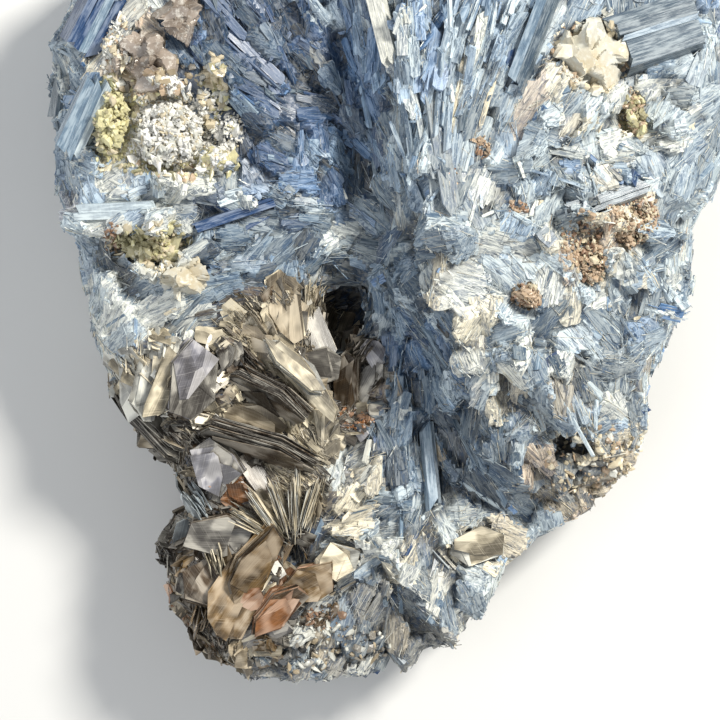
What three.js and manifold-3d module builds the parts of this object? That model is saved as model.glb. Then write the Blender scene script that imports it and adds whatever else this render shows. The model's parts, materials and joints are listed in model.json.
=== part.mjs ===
// Kyanite blade cluster: a hand specimen of interlocked kyanite blades that holds books of muscovite mica,
// lumps of quartz, patches of yellow-green druse and rusty altered feldspar.
// Units are millimetres and +Z is up. The specimen lies on its flat underside, at z = 0, and the origin is
// under the middle of its bounding box. Each crystal sits in a socket of the kyanite mass, with a fine gap.
import * as THREE from "three";
import { mergeVertices } from "three/addons/utils/BufferGeometryUtils.js";
import Module from "manifold-3d";

const wasm = await Module();
wasm.setup();

// ---------------------------------------------------------------- driving dimensions
const GAP = 0.35; // clearance between a crystal and its socket or its neighbour
const RIM_HEIGHT = 20; // height of the widest outline above the underside
const OUTLINE_STEPS = 48; // corners of each ring of the mass
const ROUGHNESS = 2.2; // how far the broken surface wanders from its smooth form
const RING_CENTRE = [-2.6, -7.7]; // every outline point can be seen from here

// The widest outline, seen from above, anticlockwise from the top left.
const OUTLINE = [
  [-53, 74], [-65, 66], [-71.5, 57], [-75, 47], [-75, 38], [-73.5, 25], [-73.5, 15], [-70.5, 9], [-69.5, 1],
  [-67, -8], [-65.5, -17], [-61.5, -23.5], [-59, -31.5], [-54, -39.5], [-47.5, -46], [-42, -52], [-46, -55.5],
  [-49, -63], [-50, -70], [-47, -78], [-41, -85], [-33, -90.5], [-22.5, -91.5], [-10, -91], [2, -86],
  [10, -83], [17, -78.5], [23, -71], [26.5, -63], [30, -60.5], [41, -55], [50, -48], [55, -40], [55, -30],
  [57, -21], [63.5, -12], [66, -1], [65, 9.5], [71, 16], [75, 29], [75.5, 44], [71, 59], [59, 74], [39, 84],
  [17, 89], [-7, 91], [-31, 86],
];

// Spot heights of the upper face: x, y and height, as on a survey map.
const SPOT_HEIGHTS = [
  // the crest that runs down the middle
  [-2, 72, 50], [1, 45, 55], [6, 22, 57], [10, 5, 56], [12, -8, 54], [17, -23, 50], [23, -40, 45], [28, -49, 40],
  // the foot of its steep side, along the valley
  [-13, 70, 40], [-12, 45, 36], [-7, 24, 33], [-3, 8, 31], [-1, -8, 30], [5, -24, 29], [11, -40, 28], [17, -55, 27],
  // the shoulder on the left
  [-34, 62, 44], [-52, 52, 44], [-64, 40, 41], [-36, 38, 45], [-24, 28, 44], [-20, 15, 43], [-45, 18, 45],
  [-61, 16, 42], [-42, 0, 43], [-60, -6, 40], [-24, -4, 39],
  // the mica field and the deep hollow beside it
  [-50, -22, 38], [-35, -22, 37], [-22, -24, 34], [-12, -14, 22], [-12, -20, 24], [-8, -32, 29], [-30, -42, 33],
  [-46, -36, 33],
  // the lobe at the lower end
  [-40, -66, 32], [-28, -72, 33], [-15, -55, 34], [-12, -77, 31], [0, -65, 33], [5, -78, 28], [15, -68, 29],
  // the plateau on the right
  [12, 72, 50], [28, 62, 52], [20, 40, 54], [30, 35, 53], [26, 12, 54], [38, 10, 51], [28, -8, 51], [36, -24, 47],
  [55, 45, 49], [60, 20, 46], [56, 0, 44], [50, -20, 42], [46, -36, 37], [37, -45, 35],
  // the shaded step under the plateau
  [33, -54, 24], [43, -50, 25],
];

// ---------------------------------------------------------------- numbers that repeat exactly
function random(seed) {
  let state = seed;
  return () => {
    state = (state + 0x6d2b79f5) | 0;
    let t = Math.imul(state ^ (state >>> 15), 1 | state);
    t = (t + Math.imul(t ^ (t >>> 7), 61 | t)) ^ t;
    return ((t ^ (t >>> 14)) >>> 0) / 4294967296;
  };
}

const latticeValue = (x, y, z) => {
  const mixed = Math.sin(x * 127.1 + y * 311.7 + z * 74.7) * 43758.5453;
  return mixed - Math.floor(mixed);
};

// Smooth noise from -1 to 1, whose lumps are one unit across.
function noise(x, y, z) {
  const cell = [x, y, z].map(Math.floor);
  const [fx, fy, fz] = [x, y, z].map((v, i) => THREE.MathUtils.smootherstep(v - cell[i], 0, 1));
  const corner = (i, j, k) => latticeValue(cell[0] + i, cell[1] + j, cell[2] + k);
  const along = (j, k) => THREE.MathUtils.lerp(corner(0, j, k), corner(1, j, k), fx);
  const across = (k) => THREE.MathUtils.lerp(along(0, k), along(1, k), fy);
  return 2 * THREE.MathUtils.lerp(across(0), across(1), fz) - 1;
}

// ---------------------------------------------------------------- solids
function toSolid(geometry) {
  const bare = geometry.clone();
  bare.deleteAttribute("normal");
  bare.deleteAttribute("uv");
  const merged = mergeVertices(bare, 1e-4);
  const vertProperties = new Float32Array(merged.attributes.position.array);
  const triVerts = new Uint32Array(merged.index.array);
  return new wasm.Manifold(new wasm.Mesh({ numProp: 3, vertProperties, triVerts }));
}

function toGeometry(solid) {
  const { vertProperties, triVerts } = solid.getMesh();
  const geometry = new THREE.BufferGeometry();
  geometry.setAttribute("position", new THREE.BufferAttribute(new Float32Array(vertProperties), 3));
  geometry.setIndex(new THREE.BufferAttribute(new Uint32Array(triVerts), 1));
  geometry.computeVertexNormals();
  return geometry;
}

// A cut can leave crumbs beside the piece: only the piece is kept.
const largestBody = (solid) => solid.decompose().sort((a, b) => b.volume() - a.volume())[0];

// ---------------------------------------------------------------- the kyanite mass
function topHeight(x, y) {
  let total = 0;
  let weights = 0;
  for (const [sx, sy, height] of SPOT_HEIGHTS) {
    const weight = 1 / (1 + (x - sx) ** 2 + (y - sy) ** 2) ** 1.7;
    total += weight * height;
    weights += weight;
  }
  return total / weights;
}

// Rings of the mass from the underside up to the middle of the upper face. Share is the ring's size
// against the outline, and level its fixed height, or rise how far up it is from the rim to the top.
const UNDERSIDE_RINGS = [
  { share: 0.45, level: 0 },
  { share: 0.83, level: 0 },
  { share: 0.915, level: 3.5 },
  { share: 0.97, level: 10.5 },
  { share: 1, level: RIM_HEIGHT },
];
const TOP_RINGS = [
  { share: 0.985, rise: 0.42 },
  { share: 0.945, rise: 0.76 },
  { share: 0.89, rise: 0.94 },
  ...[0.8, 0.7, 0.6, 0.5, 0.4, 0.3, 0.18].map((share) => ({ share, rise: 1 })),
];
const RINGS = [...UNDERSIDE_RINGS, ...TOP_RINGS];

const outlineCurve = new THREE.CatmullRomCurve3(
  OUTLINE.map(([x, y]) => new THREE.Vector3(x, y, 0)), true, "centripetal",
);
const CORNERS = outlineCurve.getSpacedPoints(OUTLINE_STEPS).slice(0, OUTLINE_STEPS).map((p) => [p.x, p.y]);
const [CENTRE_X, CENTRE_Y] = RING_CENTRE;

// How far out a place is: 0 at the centre of the rings and 1 on the outline.
function shareAt(x, y) {
  const [dx, dy] = [x - CENTRE_X, y - CENTRE_Y];
  for (let i = 0; i < OUTLINE_STEPS; i++) {
    const [ax, ay] = [CORNERS[i][0] - CENTRE_X, CORNERS[i][1] - CENTRE_Y];
    const next = CORNERS[(i + 1) % OUTLINE_STEPS];
    const [bx, by] = [next[0] - CENTRE_X, next[1] - CENTRE_Y];
    const between = ax * dy - ay * dx >= 0 && dx * by - dy * bx >= 0;
    if (between) return (dx * (by - ay) - dy * (bx - ax)) / (ax * (by - ay) - ay * (bx - ax));
  }
  return 0;
}

// Height of the upper face, with its rounded rim.
function surfaceHeight(x, y) {
  const share = shareAt(x, y);
  const outer = [{ share: 1, rise: 0 }, ...TOP_RINGS];
  const k = outer.findIndex((ring) => ring.share <= share);
  if (k === 0) return RIM_HEIGHT;
  if (k < 0 || k > 4) return topHeight(x, y);
  const rise = THREE.MathUtils.mapLinear(share, outer[k].share, outer[k - 1].share, outer[k].rise, outer[k - 1].rise);
  return THREE.MathUtils.lerp(RIM_HEIGHT, topHeight(x, y), rise);
}

function ringPoint([x, y], ring) {
  const px = CENTRE_X + (x - CENTRE_X) * ring.share;
  const py = CENTRE_Y + (y - CENTRE_Y) * ring.share;
  const pz = ring.level ?? THREE.MathUtils.lerp(RIM_HEIGHT, topHeight(px, py), ring.rise);
  const loose = ring.level === 0 ? 0 : ROUGHNESS;
  const inward = ring.share === 1 ? 0.35 : 1;
  return [
    px + loose * inward * noise(px / 9, py / 9, pz / 9 + 11),
    py + loose * inward * noise(px / 9, py / 9 + 23, pz / 9),
    pz + loose * noise(px / 7 + 37, py / 7, pz / 7),
  ];
}

function massGeometry() {
  const positions = [CENTRE_X, CENTRE_Y, 0];
  for (const ring of RINGS) {
    for (const corner of CORNERS) positions.push(...ringPoint(corner, ring));
  }
  positions.push(CENTRE_X, CENTRE_Y, topHeight(CENTRE_X, CENTRE_Y));
  const last = positions.length / 3 - 1;
  const vertex = (ring, i) => 1 + ring * OUTLINE_STEPS + (i % OUTLINE_STEPS);
  const index = [];
  for (let i = 0; i < OUTLINE_STEPS; i++) {
    index.push(0, vertex(0, i + 1), vertex(0, i));
    for (let r = 0; r < RINGS.length - 1; r++) {
      const [a, b, c, d] = [vertex(r, i), vertex(r, i + 1), vertex(r + 1, i + 1), vertex(r + 1, i)];
      if (latticeValue(i, r, 5) > 0.5) index.push(a, b, c, a, c, d);
      else index.push(a, b, d, b, c, d);
    }
    index.push(vertex(RINGS.length - 1, i), vertex(RINGS.length - 1, i + 1), last);
  }
  const geometry = new THREE.BufferGeometry();
  geometry.setAttribute("position", new THREE.BufferAttribute(new Float32Array(positions), 3));
  geometry.setIndex(index);
  return geometry;
}

// Open hollows in the mass: place, half sizes, and how far the middle is above the upper face there.
const HOLLOWS = [
  { at: [-12, -14], half: [5, 9, 9], above: 0 }, // the deep hollow at the head of the mica
  { at: [-14, 16], half: [1.6, 4.5, 6], above: 2 }, // slot under the lip of the left shoulder
  { at: [39, -39], half: [4.5, 3, 6], above: 1 }, // square pit at the lower right
  { at: [59.5, -8], half: [4, 3, 4], above: 1 }, // pit in the right flank
  { at: [-14, -81], half: [2.6, 3.4, 4.5], above: 1 }, // cavity at the lower end
];

function hollowSolid({ at: [x, y], half, above }) {
  const ball = new THREE.OctahedronGeometry(1, 1);
  ball.scale(...half);
  ball.translate(x, y, topHeight(x, y) + above);
  return toSolid(ball);
}

// ---------------------------------------------------------------- crystals
// Each maker returns the geometry of one crystal about its own middle: x along its length, y across it
// and z through its thickness. Grow is added on every side to make the socket.

// A blade of kyanite: a flat lath with slanted ends. One that stands alone has six sides, and one that is
// grown into the mass has four.
function bladeGeometry({ size: [length, width, thick], sides = 6 }, grow) {
  const [l, w, t] = [length / 2 + grow, width / 2 + grow, thick / 2 + grow];
  const section = new THREE.Shape(
    [[-w, -0.25 * t, 6], [-0.8 * w, -t, 4], [0.85 * w, -t, 4], [w, 0.25 * t, 6], [0.8 * w, t, 4], [-0.85 * w, t, 4]]
      .filter(([, , fewest]) => sides >= fewest)
      .map(([x, y]) => new THREE.Vector2(x, y)),
  );
  const lath = new THREE.ExtrudeGeometry(section, { depth: 2 * l, steps: 1, bevelEnabled: false });
  lath.translate(0, 0, -l);
  lath.applyMatrix4(new THREE.Matrix4().makeBasis(
    new THREE.Vector3(0, 1, 0), new THREE.Vector3(0, 0, 1), new THREE.Vector3(1, 0, 0),
  ));
  const position = lath.attributes.position;
  for (let i = 0; i < position.count; i++) {
    const slant = 0.45 * Math.sign(position.getX(i)) * position.getY(i);
    position.setX(i, position.getX(i) - slant);
  }
  return lath;
}

// A book of mica: a stack of cleaved sheets, which step back from the edge of the lowest one.
function sheetGeometry([a, b], thick, seed, corners) {
  const next = random(seed);
  const shape = new THREE.Shape(Array.from({ length: corners }, (_, k) => {
    const angle = ((k + 0.5 * next()) / corners) * 2 * Math.PI;
    const reach = 0.84 + 0.2 * next();
    return new THREE.Vector2((a / 2) * reach * Math.cos(angle), (b / 2) * reach * Math.sin(angle));
  }));
  return new THREE.ExtrudeGeometry(shape, { depth: thick, steps: 1, bevelEnabled: false });
}

function bookGeometry({ size: [a, b, thick], seed, sheets = 2, corners = 6 }, grow) {
  if (grow > 0) {
    const socket = sheetGeometry([a + 3.2 * grow, b + 3.2 * grow], thick + 2 * grow, seed, corners);
    return socket.translate(0, 0, -thick / 2 - grow);
  }
  const each = thick / sheets;
  let book = null;
  for (let s = 0; s < sheets; s++) {
    const share = 1 - 0.09 * s;
    const overlap = s < sheets - 1 ? 0.02 : 0;
    const sheet = sheetGeometry([a * share, b * share], each + overlap, seed, corners);
    const solid = toSolid(sheet.translate(0.03 * a * (s % 2), 0, -thick / 2 + s * each));
    book = book ? book.add(solid) : solid;
  }
  return toGeometry(book);
}

// A rough lump of quartz, feldspar or altered rock.
function lumpGeometry({ size: [a, b, c], seed, jag = 0.16, round = false }, grow) {
  const lump = round ? new THREE.IcosahedronGeometry(1, 1) : new THREE.OctahedronGeometry(1, 1);
  const position = lump.attributes.position;
  const point = new THREE.Vector3();
  for (let i = 0; i < position.count; i++) {
    point.fromBufferAttribute(position, i);
    point.multiplyScalar(1 + jag * noise(point.x * 1.7 + seed, point.y * 1.7, point.z * 1.7));
    position.setXYZ(i, point.x * (a / 2 + grow), point.y * (b / 2 + grow), point.z * (c / 2 + grow));
  }
  return lump;
}

// A crust of small blocky crystals on a bed: they follow a sunflower pattern over a rounded lump.
function druseGeometry({ size: [a, b, c], seed, grains, grain }, grow) {
  const bed = (size, spare) => lumpGeometry({ size, seed, jag: 0.05, round: true }, spare);
  if (grow > 0) return bed([a + 1.2 * grain, b + 1.2 * grain, c + 1.2 * grain], grow);
  const next = random(seed);
  let crust = toSolid(bed([a * 0.96, b * 0.96, c * 0.8], 0));
  for (let k = 0; k < grains; k++) {
    const reach = 0.86 * Math.sqrt((k + 0.5) / grains);
    const angle = k * 2.39996;
    const radius = (grain / 2) * (0.8 + 0.4 * next());
    const [x, y] = [(a / 2) * reach * Math.cos(angle), (b / 2) * reach * Math.sin(angle)];
    const crystal = new THREE.OctahedronGeometry(radius, 0).rotateX(next() * 3).rotateZ(next() * 3);
    crystal.translate(x, y, (c / 2) * 0.75 * Math.sqrt(1 - reach * reach));
    crust = crust.add(toSolid(crystal));
  }
  return toGeometry(largestBody(crust));
}

// ---------------------------------------------------------------- materials
const finish = (color, roughness, metalness = 0) => new THREE.MeshStandardMaterial({ color, roughness, metalness });
const MATERIALS = {
  kyanite: finish(0x8ba2c0, 0.45),
  kyanite_deep: finish(0x2f4a7c, 0.3),
  kyanite_pale: finish(0xc3d0e0, 0.4),
  mica_smoky: finish(0x5c5040, 0.25),
  mica_pale: finish(0xcfc3aa, 0.25),
  mica_golden: finish(0x9a7d4c, 0.25),
  quartz: finish(0xb9aca4, 0.2),
  druse: finish(0xc9bc62, 0.4),
  granular: finish(0xdcdcd6, 0.5),
  rust: finish(0xb28a66, 0.7),
};

// ---------------------------------------------------------------- the blades grown into the mass
// A spray fans out from its root: headings in degrees, and how far out its nearest and furthest blades are.
const SPRAYS = [
  { root: [4, 14], from: 56, to: 128, count: 12, near: 26, far: 68 }, // the great sheaf, up from the crest
  { root: [-10, 8], from: 124, to: 198, count: 6, near: 26, far: 56 }, // over the left shoulder
  { root: [24, 16], from: -62, to: 66, count: 7, near: 14, far: 38 }, // the tangled right plateau
  { root: [8, 0], from: -74, to: -34, count: 4, near: 24, far: 50 }, // down the lower right slope
  { root: [-2, -12], from: -100, to: -80, count: 2, near: 24, far: 42 }, // along the floor of the valley
  { root: [-6, -56], from: -104, to: -44, count: 3, near: 12, far: 24 }, // over the lobe at the lower end
];
const SPRAY_BLADE = [24, 5, 3.8]; // length, width and thickness of a middling blade
const FLANK = { count: 9, size: [21, 6, 3.8], inset: 0.955, low: 14, high: 30 }; // blades that show in the broken sides
const STEEPEST = 28; // a blade on the upper face never tips further than this

const fraction = (value) => value - Math.floor(value);

function sprayBlades() {
  const blades = [];
  for (const spray of SPRAYS) {
    for (let k = 0; k < spray.count; k++) {
      const turn = THREE.MathUtils.lerp(spray.from, spray.to, (k + 0.5) / spray.count);
      const reach = THREE.MathUtils.lerp(spray.near, spray.far, fraction(0.618 * k + 0.3));
      const heading = THREE.MathUtils.degToRad(turn);
      const at = [spray.root[0] + reach * Math.cos(heading), spray.root[1] + reach * Math.sin(heading)];
      const scale = 0.75 + 0.5 * fraction(0.414 * k);
      blades.push({ at, turn, size: SPRAY_BLADE.map((v) => v * scale), roll: 32 * Math.sin(2.3 * k), lift: 0.8 });
    }
  }
  return blades;
}

function flankBlades() {
  return Array.from({ length: FLANK.count }, (_, k) => {
    const along = (k + 0.5) / FLANK.count;
    const place = outlineCurve.getPointAt(along);
    const tangent = outlineCurve.getTangentAt(along);
    return {
      at: [CENTRE_X + FLANK.inset * (place.x - CENTRE_X), CENTRE_Y + FLANK.inset * (place.y - CENTRE_Y)],
      size: FLANK.size,
      height: THREE.MathUtils.lerp(FLANK.low, FLANK.high, fraction(0.618 * k)),
      turn: THREE.MathUtils.radToDeg(Math.atan2(tangent.y, tangent.x)),
      pitch: 34 * Math.sin(1.7 * k),
      roll: -78,
    };
  });
}

// ---------------------------------------------------------------- where each crystal sits
// At is the place seen from above, and lift is how far the crystal's middle is above the upper face there,
// or height gives the middle's own height. Turn is the heading of its length, pitch lifts the far end and
// roll turns it about its length, all in degrees. A blade with no height of its own follows the slope.
const BLADES = [
  {
    name: "kyanite_blade_crest_dark", at: [29.5, 47.5], size: [21, 3.8, 3], turn: 69, roll: -18, lift: 0.9,
    tone: "kyanite_deep",
  },
  {
    name: "kyanite_blade_banded", at: [45, 13], size: [16.5, 4, 3], turn: 21, roll: -12, lift: 0.7,
    tone: "kyanite_deep",
  },
  {
    name: "kyanite_blade_spearhead", at: [-2.5, 49], size: [16, 3.4, 3], turn: 103, roll: -20, lift: 0.9,
    tone: "kyanite_pale",
  },
  {
    name: "kyanite_block_upper_right", at: [56, 48.5], size: [12.5, 12, 7], turn: 18, roll: -12, lift: -0.4,
    tone: "kyanite_deep",
  },
  {
    name: "kyanite_block_left_edge", at: [-65, 52], size: [10, 8, 7], turn: 62, pitch: 8, roll: 28, height: 39.5,
    tone: "kyanite_deep",
  },
  {
    name: "kyanite_block_left_step", at: [-71, 37.5], size: [7.5, 6, 6], turn: 80, roll: 22, height: 26,
    tone: "kyanite_deep",
  },
  {
    name: "kyanite_slab_left", at: [-67, 31], size: [15, 6, 3], turn: 64, roll: 22, lift: 0.6,
    tone: "kyanite",
  },
  {
    name: "kyanite_blade_lavender", at: [-60, 10.8], size: [17, 3.4, 3], turn: 2, roll: 6, lift: 0.9,
    tone: "kyanite_pale",
  },
  {
    name: "kyanite_blade_oblique", at: [-34.5, 10], size: [17, 2.2, 2.4], turn: 19, roll: 10, lift: 0.9,
    tone: "kyanite_deep",
  },
  {
    name: "kyanite_blade_lower_blue", at: [8, -44], size: [17, 2.8, 2.6], turn: 96, roll: 18, lift: 0.9,
    tone: "kyanite_deep",
  },
];

const BOOKS = [
  { name: "mica_book_lavender", at: [-43.5, -25], size: [18, 11, 4.5], turn: 78, pitch: 6, roll: 14, lift: 1, seed: 3, tone: "mica_pale" },
  { name: "mica_book_upper_bar", at: [-27, -28.5], size: [18, 9, 4.6], turn: -32, pitch: -4, roll: 62, lift: 2.2, seed: 11, tone: "mica_smoky" },
  { name: "mica_book_lower_bar", at: [-29, -39.5], size: [25, 9, 4.2], turn: -19, pitch: -3, roll: 66, lift: 2.2, seed: 19, tone: "mica_smoky" },
  { name: "mica_book_recess", at: [-30, -33.5], size: [15, 7, 3], turn: -12, pitch: 0, roll: 24, lift: -0.8, seed: 23, tone: "mica_smoky" },
  { name: "mica_leaf_ivory", at: [-21.5, -22.5], size: [17, 6, 2.6], turn: -44, pitch: 4, roll: -28, lift: 3.2, seed: 29, tone: "mica_pale" },
  { name: "mica_leaf_upright", at: [-22.5, -13], size: [12, 7, 3], turn: 72, pitch: 10, roll: 10, lift: 1.2, seed: 31, tone: "mica_pale" },
  { name: "mica_plate_grey", at: [-16.5, -22.5], size: [9, 8, 3], turn: 10, pitch: -8, roll: 10, lift: 1.6, seed: 37, tone: "mica_smoky" },
  { name: "mica_plate_brown", at: [-10, -26], size: [13, 5.5, 3], turn: 84, pitch: 8, roll: -26, lift: 0.6, seed: 41, tone: "mica_smoky" },
  { name: "mica_book_blue_grey", at: [-38.5, -44], size: [13, 10, 5], turn: -35, pitch: 6, roll: 16, lift: 1.4, seed: 43, tone: "mica_smoky" },
  { name: "mica_book_rim", at: [-52, -36], size: [22, 7, 4.5], turn: -48, pitch: 0, roll: -54, lift: -1.5, seed: 47, tone: "mica_smoky" },
  { name: "mica_book_lobe_top", at: [-38, -59], size: [15, 9, 4.5], turn: 12, pitch: 4, roll: 10, lift: 1, seed: 59, tone: "mica_smoky" },
  { name: "mica_plate_golden", at: [-30.5, -66], size: [19, 8, 4], turn: 58, pitch: 10, roll: 30, lift: 2.6, seed: 61, tone: "mica_golden" },
  { name: "mica_plate_tan", at: [-40.5, -70], size: [11, 10, 4], turn: 20, pitch: -6, roll: -12, lift: 1.2, seed: 67, tone: "mica_golden" },
  { name: "mica_plate_amber", at: [-25, -75], size: [14, 6.5, 4], turn: 42, pitch: 8, roll: 24, lift: 2, seed: 71, tone: "mica_golden" },
  { name: "mica_plate_honey", at: [-18.5, -69.5], size: [13, 8, 4], turn: 30, pitch: 10, roll: 12, lift: 1.4, seed: 73, tone: "mica_golden" },
  { name: "mica_plate_ivory_cracked", at: [-12.3, -64.8], size: [9.5, 8, 3.4], turn: 25, pitch: 0, roll: -6, lift: 0.9, seed: 79, tone: "mica_pale" },
  { name: "mica_plate_pink", at: [18.5, -61.5], size: [12, 7.5, 3.2], turn: 12, pitch: -4, roll: 6, lift: 0.6, seed: 83, tone: "mica_pale" },
];

// The rosette of leaf edges between the upper books and the lobe: a fan of thin books from one root.
const ROSETTE = { root: [-20.5, -63], first: 74, last: 146, count: 5, reach: 11, size: [13, 6, 2] };
for (let k = 0; k < ROSETTE.count; k++) {
  const heading = THREE.MathUtils.lerp(ROSETTE.first, ROSETTE.last, k / (ROSETTE.count - 1));
  const angle = THREE.MathUtils.degToRad(heading);
  const at = [ROSETTE.root[0] + ROSETTE.reach * Math.cos(angle), ROSETTE.root[1] + ROSETTE.reach * Math.sin(angle)];
  BOOKS.push({
    name: `mica_rosette_leaf_${k + 1}`, at, size: ROSETTE.size, turn: heading, pitch: 5, roll: 72, lift: 1.3,
    seed: 89 + k, sheets: 2, corners: 5, tone: "mica_pale",
  });
}

const LUMPS = [
  { name: "quartz_smoky_left", at: [-53.5, 43], size: [10, 11, 7], turn: 30, lift: 0.2, seed: 3, tone: "quartz" },
  { name: "quartz_smoky_top", at: [-45.5, 53], size: [7.5, 12, 7], turn: -8, lift: 0.2, seed: 5, tone: "quartz" },
  { name: "quartz_cream_right", at: [42, 43], size: [13, 13, 7], turn: 20, lift: 0.2, seed: 7, tone: "granular" },
  { name: "quartz_white_nose", at: [-44.8, -3], size: [6, 8.5, 6], turn: -25, lift: 0.8, seed: 9, tone: "granular" },
  { name: "feldspar_rusty_upper", at: [51.2, 7.5], size: [9.5, 9, 6], turn: 30, lift: 0.2, seed: 13, tone: "rust" },
  { name: "feldspar_rusty_middle", at: [41.8, -0.5], size: [7, 10, 6], turn: 5, lift: 0.2, seed: 17, tone: "rust" },
  { name: "feldspar_rusty_lower", at: [28.7, -7.5], size: [5.5, 5, 5], turn: 0, lift: 0.3, seed: 21, tone: "rust" },
];

const DRUSES = [
  { name: "druse_yellow_left", at: [-60.5, 29.5], size: [7, 15, 5], turn: -10, lift: 0.2, seed: 5, grains: 8, grain: 3.6, tone: "druse" },
  { name: "granular_white_left", at: [-48, 27], size: [16, 15, 6], turn: 0, lift: 0, seed: 8, grains: 9, grain: 4.6, tone: "granular" },
  { name: "druse_green_pocket", at: [-53, 3.6], size: [15, 6, 5], turn: -8, lift: -0.6, seed: 12, grains: 6, grain: 3.8, tone: "druse" },
  { name: "druse_yellow_right", at: [51.5, 31], size: [3.6, 9, 4], turn: 12, lift: -0.3, seed: 15, grains: 4, grain: 3, tone: "druse" },
];

const CRYSTALS = [
  ...BLADES.map((facts) => ({ ...facts, make: bladeGeometry })),
  ...BOOKS.map((facts) => ({ ...facts, make: bookGeometry })),
  ...LUMPS.map((facts) => ({ ...facts, make: lumpGeometry })),
  ...DRUSES.map((facts) => ({ ...facts, make: druseGeometry })),
];

const radians = THREE.MathUtils.degToRad;

// The slope of the upper face under a blade, along its heading.
function slopeUnder([x, y], turn, length) {
  const [dx, dy] = [0.4 * length * Math.cos(radians(turn)), 0.4 * length * Math.sin(radians(turn))];
  const climb = surfaceHeight(x + dx, y + dy) - surfaceHeight(x - dx, y - dy);
  return THREE.MathUtils.clamp(THREE.MathUtils.radToDeg(Math.atan2(climb, 0.8 * length)), -STEEPEST, STEEPEST);
}

function placeOf({ at: [x, y], turn = 0, pitch, roll = 0, lift = 0, height, size }) {
  const rise = pitch ?? (height === undefined ? slopeUnder([x, y], turn, size[0]) : 0);
  const z = height ?? surfaceHeight(x, y) + lift;
  return new THREE.Matrix4()
    .makeRotationFromEuler(new THREE.Euler(radians(roll), radians(-rise), radians(turn), "ZYX"))
    .setPosition(x, y, z);
}

// ---------------------------------------------------------------- assembly
function build() {
  const specimen = new THREE.Group();
  let mass = toSolid(massGeometry());
  for (const blade of [...sprayBlades(), ...flankBlades()]) {
    mass = mass.add(toSolid(bladeGeometry({ ...blade, sides: 4 }, 0).applyMatrix4(placeOf(blade))));
  }
  for (const hollow of HOLLOWS) mass = mass.subtract(hollowSolid(hollow));
  const sockets = [];
  for (const crystal of CRYSTALS) {
    const place = placeOf(crystal);
    let solid = toSolid(crystal.make(crystal, 0).applyMatrix4(place));
    for (const socket of sockets) solid = solid.subtract(socket);
    const socket = toSolid(crystal.make(crystal, GAP).applyMatrix4(place));
    sockets.push(socket);
    mass = mass.subtract(socket);
    const middle = new THREE.Vector3().setFromMatrixPosition(place);
    const mesh = new THREE.Mesh(toGeometry(largestBody(solid)), MATERIALS[crystal.tone].clone());
    mesh.geometry.translate(-middle.x, -middle.y, -middle.z);
    mesh.position.copy(middle);
    mesh.name = crystal.name;
    specimen.add(mesh);
  }
  const body = new THREE.Mesh(toGeometry(largestBody(mass)), MATERIALS.kyanite.clone());
  body.name = "kyanite_mass";
  specimen.add(body);
  const box = new THREE.Box3().setFromObject(specimen, true);
  const middle = box.getCenter(new THREE.Vector3());
  specimen.position.set(-middle.x, -middle.y, -box.min.z);
  return specimen;
}

export default build();
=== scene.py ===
"""The looks of the kyanite blade cluster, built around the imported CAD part.

The kyanite mass becomes a core broken into blade-shaped domains, each with a direction and a tone of its own,
under thousands of fine blades, laths and hairs that follow them. Mica books become stacks of thin leaves, and
the quartz, the druses and the rusty feldspar become chipped or grainy solids where the CAD has them. Lengths in
the tables are millimetres in the CAD frame.
"""

import itertools
import json
import math

import bpy
import numpy as np
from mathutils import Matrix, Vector
from mathutils.bvhtree import BVHTree
from mathutils.kdtree import KDTree


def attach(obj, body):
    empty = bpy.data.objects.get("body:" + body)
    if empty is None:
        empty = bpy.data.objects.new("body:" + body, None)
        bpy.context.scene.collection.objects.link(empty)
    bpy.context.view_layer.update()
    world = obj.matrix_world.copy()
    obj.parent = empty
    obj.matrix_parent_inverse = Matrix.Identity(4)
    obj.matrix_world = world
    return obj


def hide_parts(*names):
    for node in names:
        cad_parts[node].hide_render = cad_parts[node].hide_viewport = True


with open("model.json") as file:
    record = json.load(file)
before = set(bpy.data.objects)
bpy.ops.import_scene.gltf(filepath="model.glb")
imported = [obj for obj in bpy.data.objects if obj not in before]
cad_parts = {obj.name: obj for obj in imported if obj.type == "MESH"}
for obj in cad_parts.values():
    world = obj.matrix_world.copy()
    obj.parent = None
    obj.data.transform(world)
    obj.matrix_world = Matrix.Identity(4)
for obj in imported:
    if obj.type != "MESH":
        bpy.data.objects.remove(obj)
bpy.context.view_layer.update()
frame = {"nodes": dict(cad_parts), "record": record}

MM = 0.001
RNG = np.random.default_rng(20)

# ------------------------------------------------------------------ palette


def linear(code):
    """A colour written as the hexadecimal digits of a screen colour, as linear light."""
    screen = np.array([int(code[k:k + 2], 16) for k in (0, 2, 4)]) / 255
    return np.where(screen <= 0.04045, screen / 12.92, ((screen + 0.055) / 1.055) ** 2.4)


TONES = {name: linear(code) for name, code in dict(
    white="d6d7cf", pale="b3c1c9", sky="8ba5bf", steel="72879a", blue="5277a3", deep="2d4870", slate="4b5b68",
    cream="d8ccb0", tan="bda58b", rust="96765f", dark="202429", olive="aca683", ivory="d8ccb0",
    beige="a99a80", brown="594732", umber="2c241d", gold="86693c", amber="9c6536", lilac="a7a6b0",
    smoke="7b7770", lemon="d9d3a4", frost="efeee8",
).items()}

# ------------------------------------------------------------------ where colours and directions change


def area(x, y, half_x, half_y, **facts):
    """An ellipse on the rock seen from above: its centre, its half widths and what it says about them."""
    return {"at": (x, y), "half": (half_x, half_y), **facts}


def patch(x, y, half_x, half_y, strength, **tones):
    """An ellipse that draws its tones by their shares."""
    return area(x, y, half_x, half_y, strength=strength, tones=tones)


def crumbs(x, y, half_x, half_y, count, smallest, largest, **tones):
    """An ellipse strewn with small crystals."""
    return area(x, y, half_x, half_y, count=count, size=(smallest, largest), tones=tones)


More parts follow.
